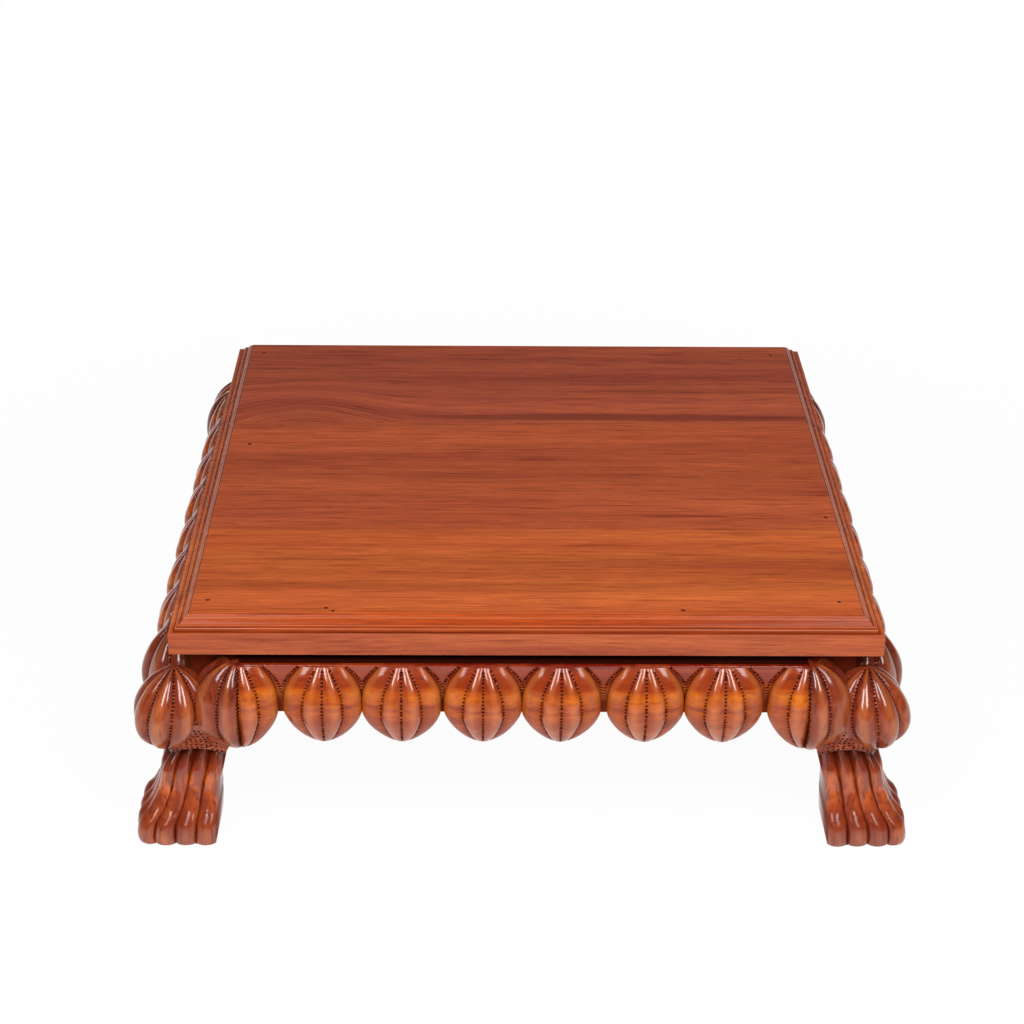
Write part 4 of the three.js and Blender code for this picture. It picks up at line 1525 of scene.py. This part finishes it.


# Battens behind the aprons: sawn bars that nobody varnished, stained dark and darker still as painted
# shade of the gap under the top
battenTones = {
    "light": (0.03, 0.009, 0.005),
    "middle": (0.02, 0.006, 0.004),
    "dark": (0.012, 0.004, 0.002),
    "streak": (0.006, 0.002, 0.001),
    "streaks": 0.5,
    "fibres": 0.5,
    "pores": 0.5,
    "offset": (3.3, 2.2, 5.1),
    "roughness": 0.62,
    "grainRoughness": 0.15,
    "sawMarks": 3.2,  # millimetres apart
    "sawDepth": 0.3,
    "bump": (0.0003, 0.4),
}
battenLook = barLook | {"unevenness": 0.25, "ease": 0.8, "step": 6}


def battenWood(name, along):
    tones = battenTones
    material, tree, surface = startMaterial(name)
    colour, height, place = woodFigure(tree, along, tones, objectPlace(tree))
    across = splitPlace(tree, place)[along]
    turns = maths(tree, "MULTIPLY", across, 2 * math.pi / (tones["sawMarks"] * mm))
    marks = maths(tree, "SINE", turns)
    relief = maths(tree, "MULTIPLY_ADD", marks, tones["sawDepth"], height)
    roughness = maths(tree, "MULTIPLY_ADD", height, tones["grainRoughness"], tones["roughness"])
    finishSurface(tree, surface, colour, roughness, relief, tones["bump"])
    return material


print("bajot: battens")
battenMaterials = [battenWood("battenAlongX", 0), battenWood("battenAlongY", 1)]
for quarterTurns, side in enumerate(sides):
    look = battenLook
    low, high = boxOf(f"batten_{side}")
    along = quarterTurns % 2
    skin = roundedBar(low, high, along, look["ease"], look["step"], dice, look=look)
    node = f"batten_{side}"
    addPiece(camelName(node), [skin], battenMaterials[along], node)


# Screws of the battens: pan heads with a slot, threaded shanks
screwLook = {
    "segments": 48,
    "headHeight": 2.6,
    "headShare": 0.99,  # of half the height that the frame's screw has
    "domeShares": (0.04, 0.92, 12),  # of the head's radius: first, last and how many rings
    "domeDepth": 0.3,  # of the head's height
    "rim": ((0.45, 0.98), (0.7, 1.0), (0.97, 1.0), (1.0, 0.96)),  # shares of height and radius
    "pitch": 1.4,
    "stepsPerTurn": 6,
    "threadDepth": 0.35,
    "slotHalfWidth": 0.5,
    "slotEdgeShares": (0.8, 1.3),
    "slotDepth": 1.1,
    "tip": 4.5,
    "tipShare": 0.08,
}
steelTones = {
    "dark": (0.33, 0.32, 0.3),
    "light": (0.55, 0.54, 0.51),
    "metallic": 1.0,
    "roughness": 0.38,
    "unevenness": 0.2,
    "spots": 700.0,
    "spotRange": (0.35, 0.65),
    "bump": (0.00005, 0.3),
}


def screwSkin(size):
    # Head at zero, shank along +Z; the size is that of the frame's screw
    look = screwLook
    length, headHeight = size[:2].max(), look["headHeight"]
    headRadius = size[2] / 2 * look["headShare"]
    innerRadius = size[2] / 4 - look["threadDepth"]
    angles = np.linspace(0, 2 * math.pi, look["segments"], endpoint=False)
    slotLow, slotHigh = (look["slotHalfWidth"] * share for share in look["slotEdgeShares"])
    rings = []
    for share in np.linspace(*look["domeShares"]):
        radius = headRadius * share
        dome = headHeight * look["domeDepth"] * share**3
        slot = 1 - smoothStep(np.abs(radius * np.cos(angles)), slotLow, slotHigh)
        rings.append(ringAt(angles, radius, dome + look["slotDepth"] * slot))
    for height, share in look["rim"]:
        rings.append(ringAt(angles, headRadius * share, headHeight * height))
    for height in np.arange(headHeight + 0.05, length, look["pitch"] / look["stepsPerTurn"]):
        taper = min(1, (length - height) / look["tip"] + look["tipShare"])
        turn = np.mod(height / look["pitch"] - angles / (2 * math.pi), 1)
        thread = look["threadDepth"] * (1 - np.abs(2 * turn - 1)) ** 2
        rings.append(ringAt(angles, (innerRadius + thread) * taper, height))
    return loft(np.array(rings))


print("bajot: screws")
zincMaterial = spottedFinish("zincScrew", steelTones)
for quarterTurns, side in enumerate(sides):
    for number in (1, 2, 3):
        node = f"batten_screw_{side}_{number}"
        low, high = boxOf(node)
        size = high - low
        skin = screwSkin(size)
        # Stand the screw along +Y with its head towards the middle of the table, then turn it
        points = skin["points"][:, [1, 2, 0]]
        points[:, 1] -= size[:2].max() / 2
        skin["points"] = turned(points, quarterTurns) + (low + high) / 2
        addPiece(camelName(node), [skin], zincMaterial, node)


# Stage: a pale floor, soft light and the camera of the photo
print("bajot: stage")
stageLook = {
    "ambient": 0.18,
    "background": 1.0,
    "ceilingGloss": 0.12,  # what varnish sees above, where the studio is dark
    "ceilingFrom": -0.04,
    "ceilingTo": 0.12,
    "floorColour": 0.9,
    "nearGlow": 0.965,
    "shadowReach": (0.35, 1.0),
    "floorHalf": 6.0,
    "floorDrop": 0.0002,
    "lampsAimAt": (0, -0.05, 0.1),
}
softBoxes = [
    {"place": (side * 0.5, -1.0, 1.25), "size": (0.4, 0.95), "power": 13.5} for side in (-1, 1)
]
photoCamera = {
    "place": (-0.0239, -1.4405, 0.8670),
    "lens": 77.85,
    "yaw": -0.7247,
    "down": 27.556,
    "roll": 0.5418,
}


def raysThatSeeBackground(tree):
    rays = addNode(tree, "ShaderNodeLightPath").outputs
    seen = maths(tree, "ADD", rays["Is Camera Ray"], rays["Is Glossy Ray"], clamp=True)
    return maths(tree, "ADD", seen, rays["Is Transmission Ray"], clamp=True)


def whiteWorld():
    look = stageLook
    world = bpy.data.worlds.new("whiteStudio")
    tree = emptyTree(world)
    direction = addNode(tree, "ShaderNodeTexCoord").outputs["Generated"]
    height = splitPlace(tree, direction)[2]
    ceiling = between(tree, height, look["ceilingFrom"], look["ceilingTo"])
    glossy = addNode(tree, "ShaderNodeLightPath").outputs["Is Glossy Ray"]
    dimming = maths(tree, "MULTIPLY", ceiling, glossy)
    strength = maths(tree, "MULTIPLY_ADD", dimming, look["ceilingGloss"] - 1, look["background"])
    white = (1, 1, 1, 1)
    soft = addNode(tree, "ShaderNodeBackground", {"Color": white, "Strength": look["ambient"]})
    seen = addNode(tree, "ShaderNodeBackground", {"Color": white, "Strength": strength})
    inputs = {0: raysThatSeeBackground(tree), 1: soft.outputs[0], 2: seen.outputs[0]}
    mixed = addNode(tree, "ShaderNodeMixShader", inputs)
    addNode(tree, "ShaderNodeOutputWorld", {"Surface": mixed.outputs[0]})
    bpy.context.scene.world = world


def floorMaterial():
    # White far away; near the table it shows part of its own shading, so the shadow stays
    look = stageLook
    material = bpy.data.materials.new("paleFloor")
    tree = emptyTree(material)
    grey = look["floorColour"]
    diffuse = addNode(tree, "ShaderNodeBsdfDiffuse", {"Color": (grey, grey, grey, 1)})
    glow = addNode(tree, "ShaderNodeEmission", {"Color": (1, 1, 1, 1), "Strength": 1.0})
    fromMiddle = addNode(
        tree, "ShaderNodeVectorMath", {0: objectPlace(tree)}, operation="LENGTH"
    ).outputs["Value"]
    far = between(tree, fromMiddle, *look["shadowReach"])
    glowing = maths(tree, "MULTIPLY_ADD", far, 1 - look["nearGlow"], look["nearGlow"])
    share = maths(tree, "MULTIPLY", raysThatSeeBackground(tree), glowing)
    inputs = {0: share, 1: diffuse.outputs[0], 2: glow.outputs[0]}
    mixed = addNode(tree, "ShaderNodeMixShader", inputs)
    addNode(tree, "ShaderNodeOutputMaterial", {"Surface": mixed.outputs[0]})
    return material


def paleFloor():
    half, z = stageLook["floorHalf"], -stageLook["floorDrop"]
    mesh = bpy.data.meshes.new("floor")
    outline = [(-half, -half, z), (half, -half, z), (half, half, z), (-half, half, z)]
    mesh.from_pydata(outline, [], [(0, 1, 2, 3)])
    mesh.materials.append(floorMaterial())
    floor = bpy.data.objects.new("floor", mesh)
    bpy.context.scene.collection.objects.link(floor)


def hangSoftBoxes():
    aim = Vector(stageLook["lampsAimAt"])
    for number, look in enumerate(softBoxes):
        light = bpy.data.lights.new(f"softBox{number}", "AREA")
        light.shape = "RECTANGLE"
        light.size, light.size_y = look["size"]
        light.energy = look["power"]
        lamp = bpy.data.objects.new(f"softBox{number}", light)
        lamp.location = look["place"]
        lamp.rotation_euler = (aim - Vector(look["place"])).to_track_quat("-Z", "Y").to_euler()
        bpy.context.scene.collection.objects.link(lamp)


def standCamera():
    look = photoCamera
    yaw, down, roll = (math.radians(look[key]) for key in ("yaw", "down", "roll"))
    right = Vector((math.cos(yaw), math.sin(yaw), 0))
    ahead = Vector((-math.sin(yaw), math.cos(yaw), 0))
    upward = Vector((0, 0, 1))
    forward = ahead * math.cos(down) - upward * math.sin(down)
    up = ahead * math.sin(down) + upward * math.cos(down)
    x = right * math.cos(roll) + up * math.sin(roll)
    y = up * math.cos(roll) - right * math.sin(roll)
    turn = Matrix((x, y, -forward)).transposed().to_4x4()
    lens = bpy.data.cameras.new("photoCamera")
    lens.sensor_width = 36
    lens.lens = look["lens"]
    lens.clip_end = 50
    camera = bpy.data.objects.new("photoCamera", lens)
    camera.matrix_world = Matrix.Translation(look["place"]) @ turn
    bpy.context.scene.collection.objects.link(camera)
    bpy.context.scene.camera = camera


whiteWorld()
paleFloor()
hangSoftBoxes()
standCamera()
bpy.context.scene.view_settings.view_transform = "Standard"
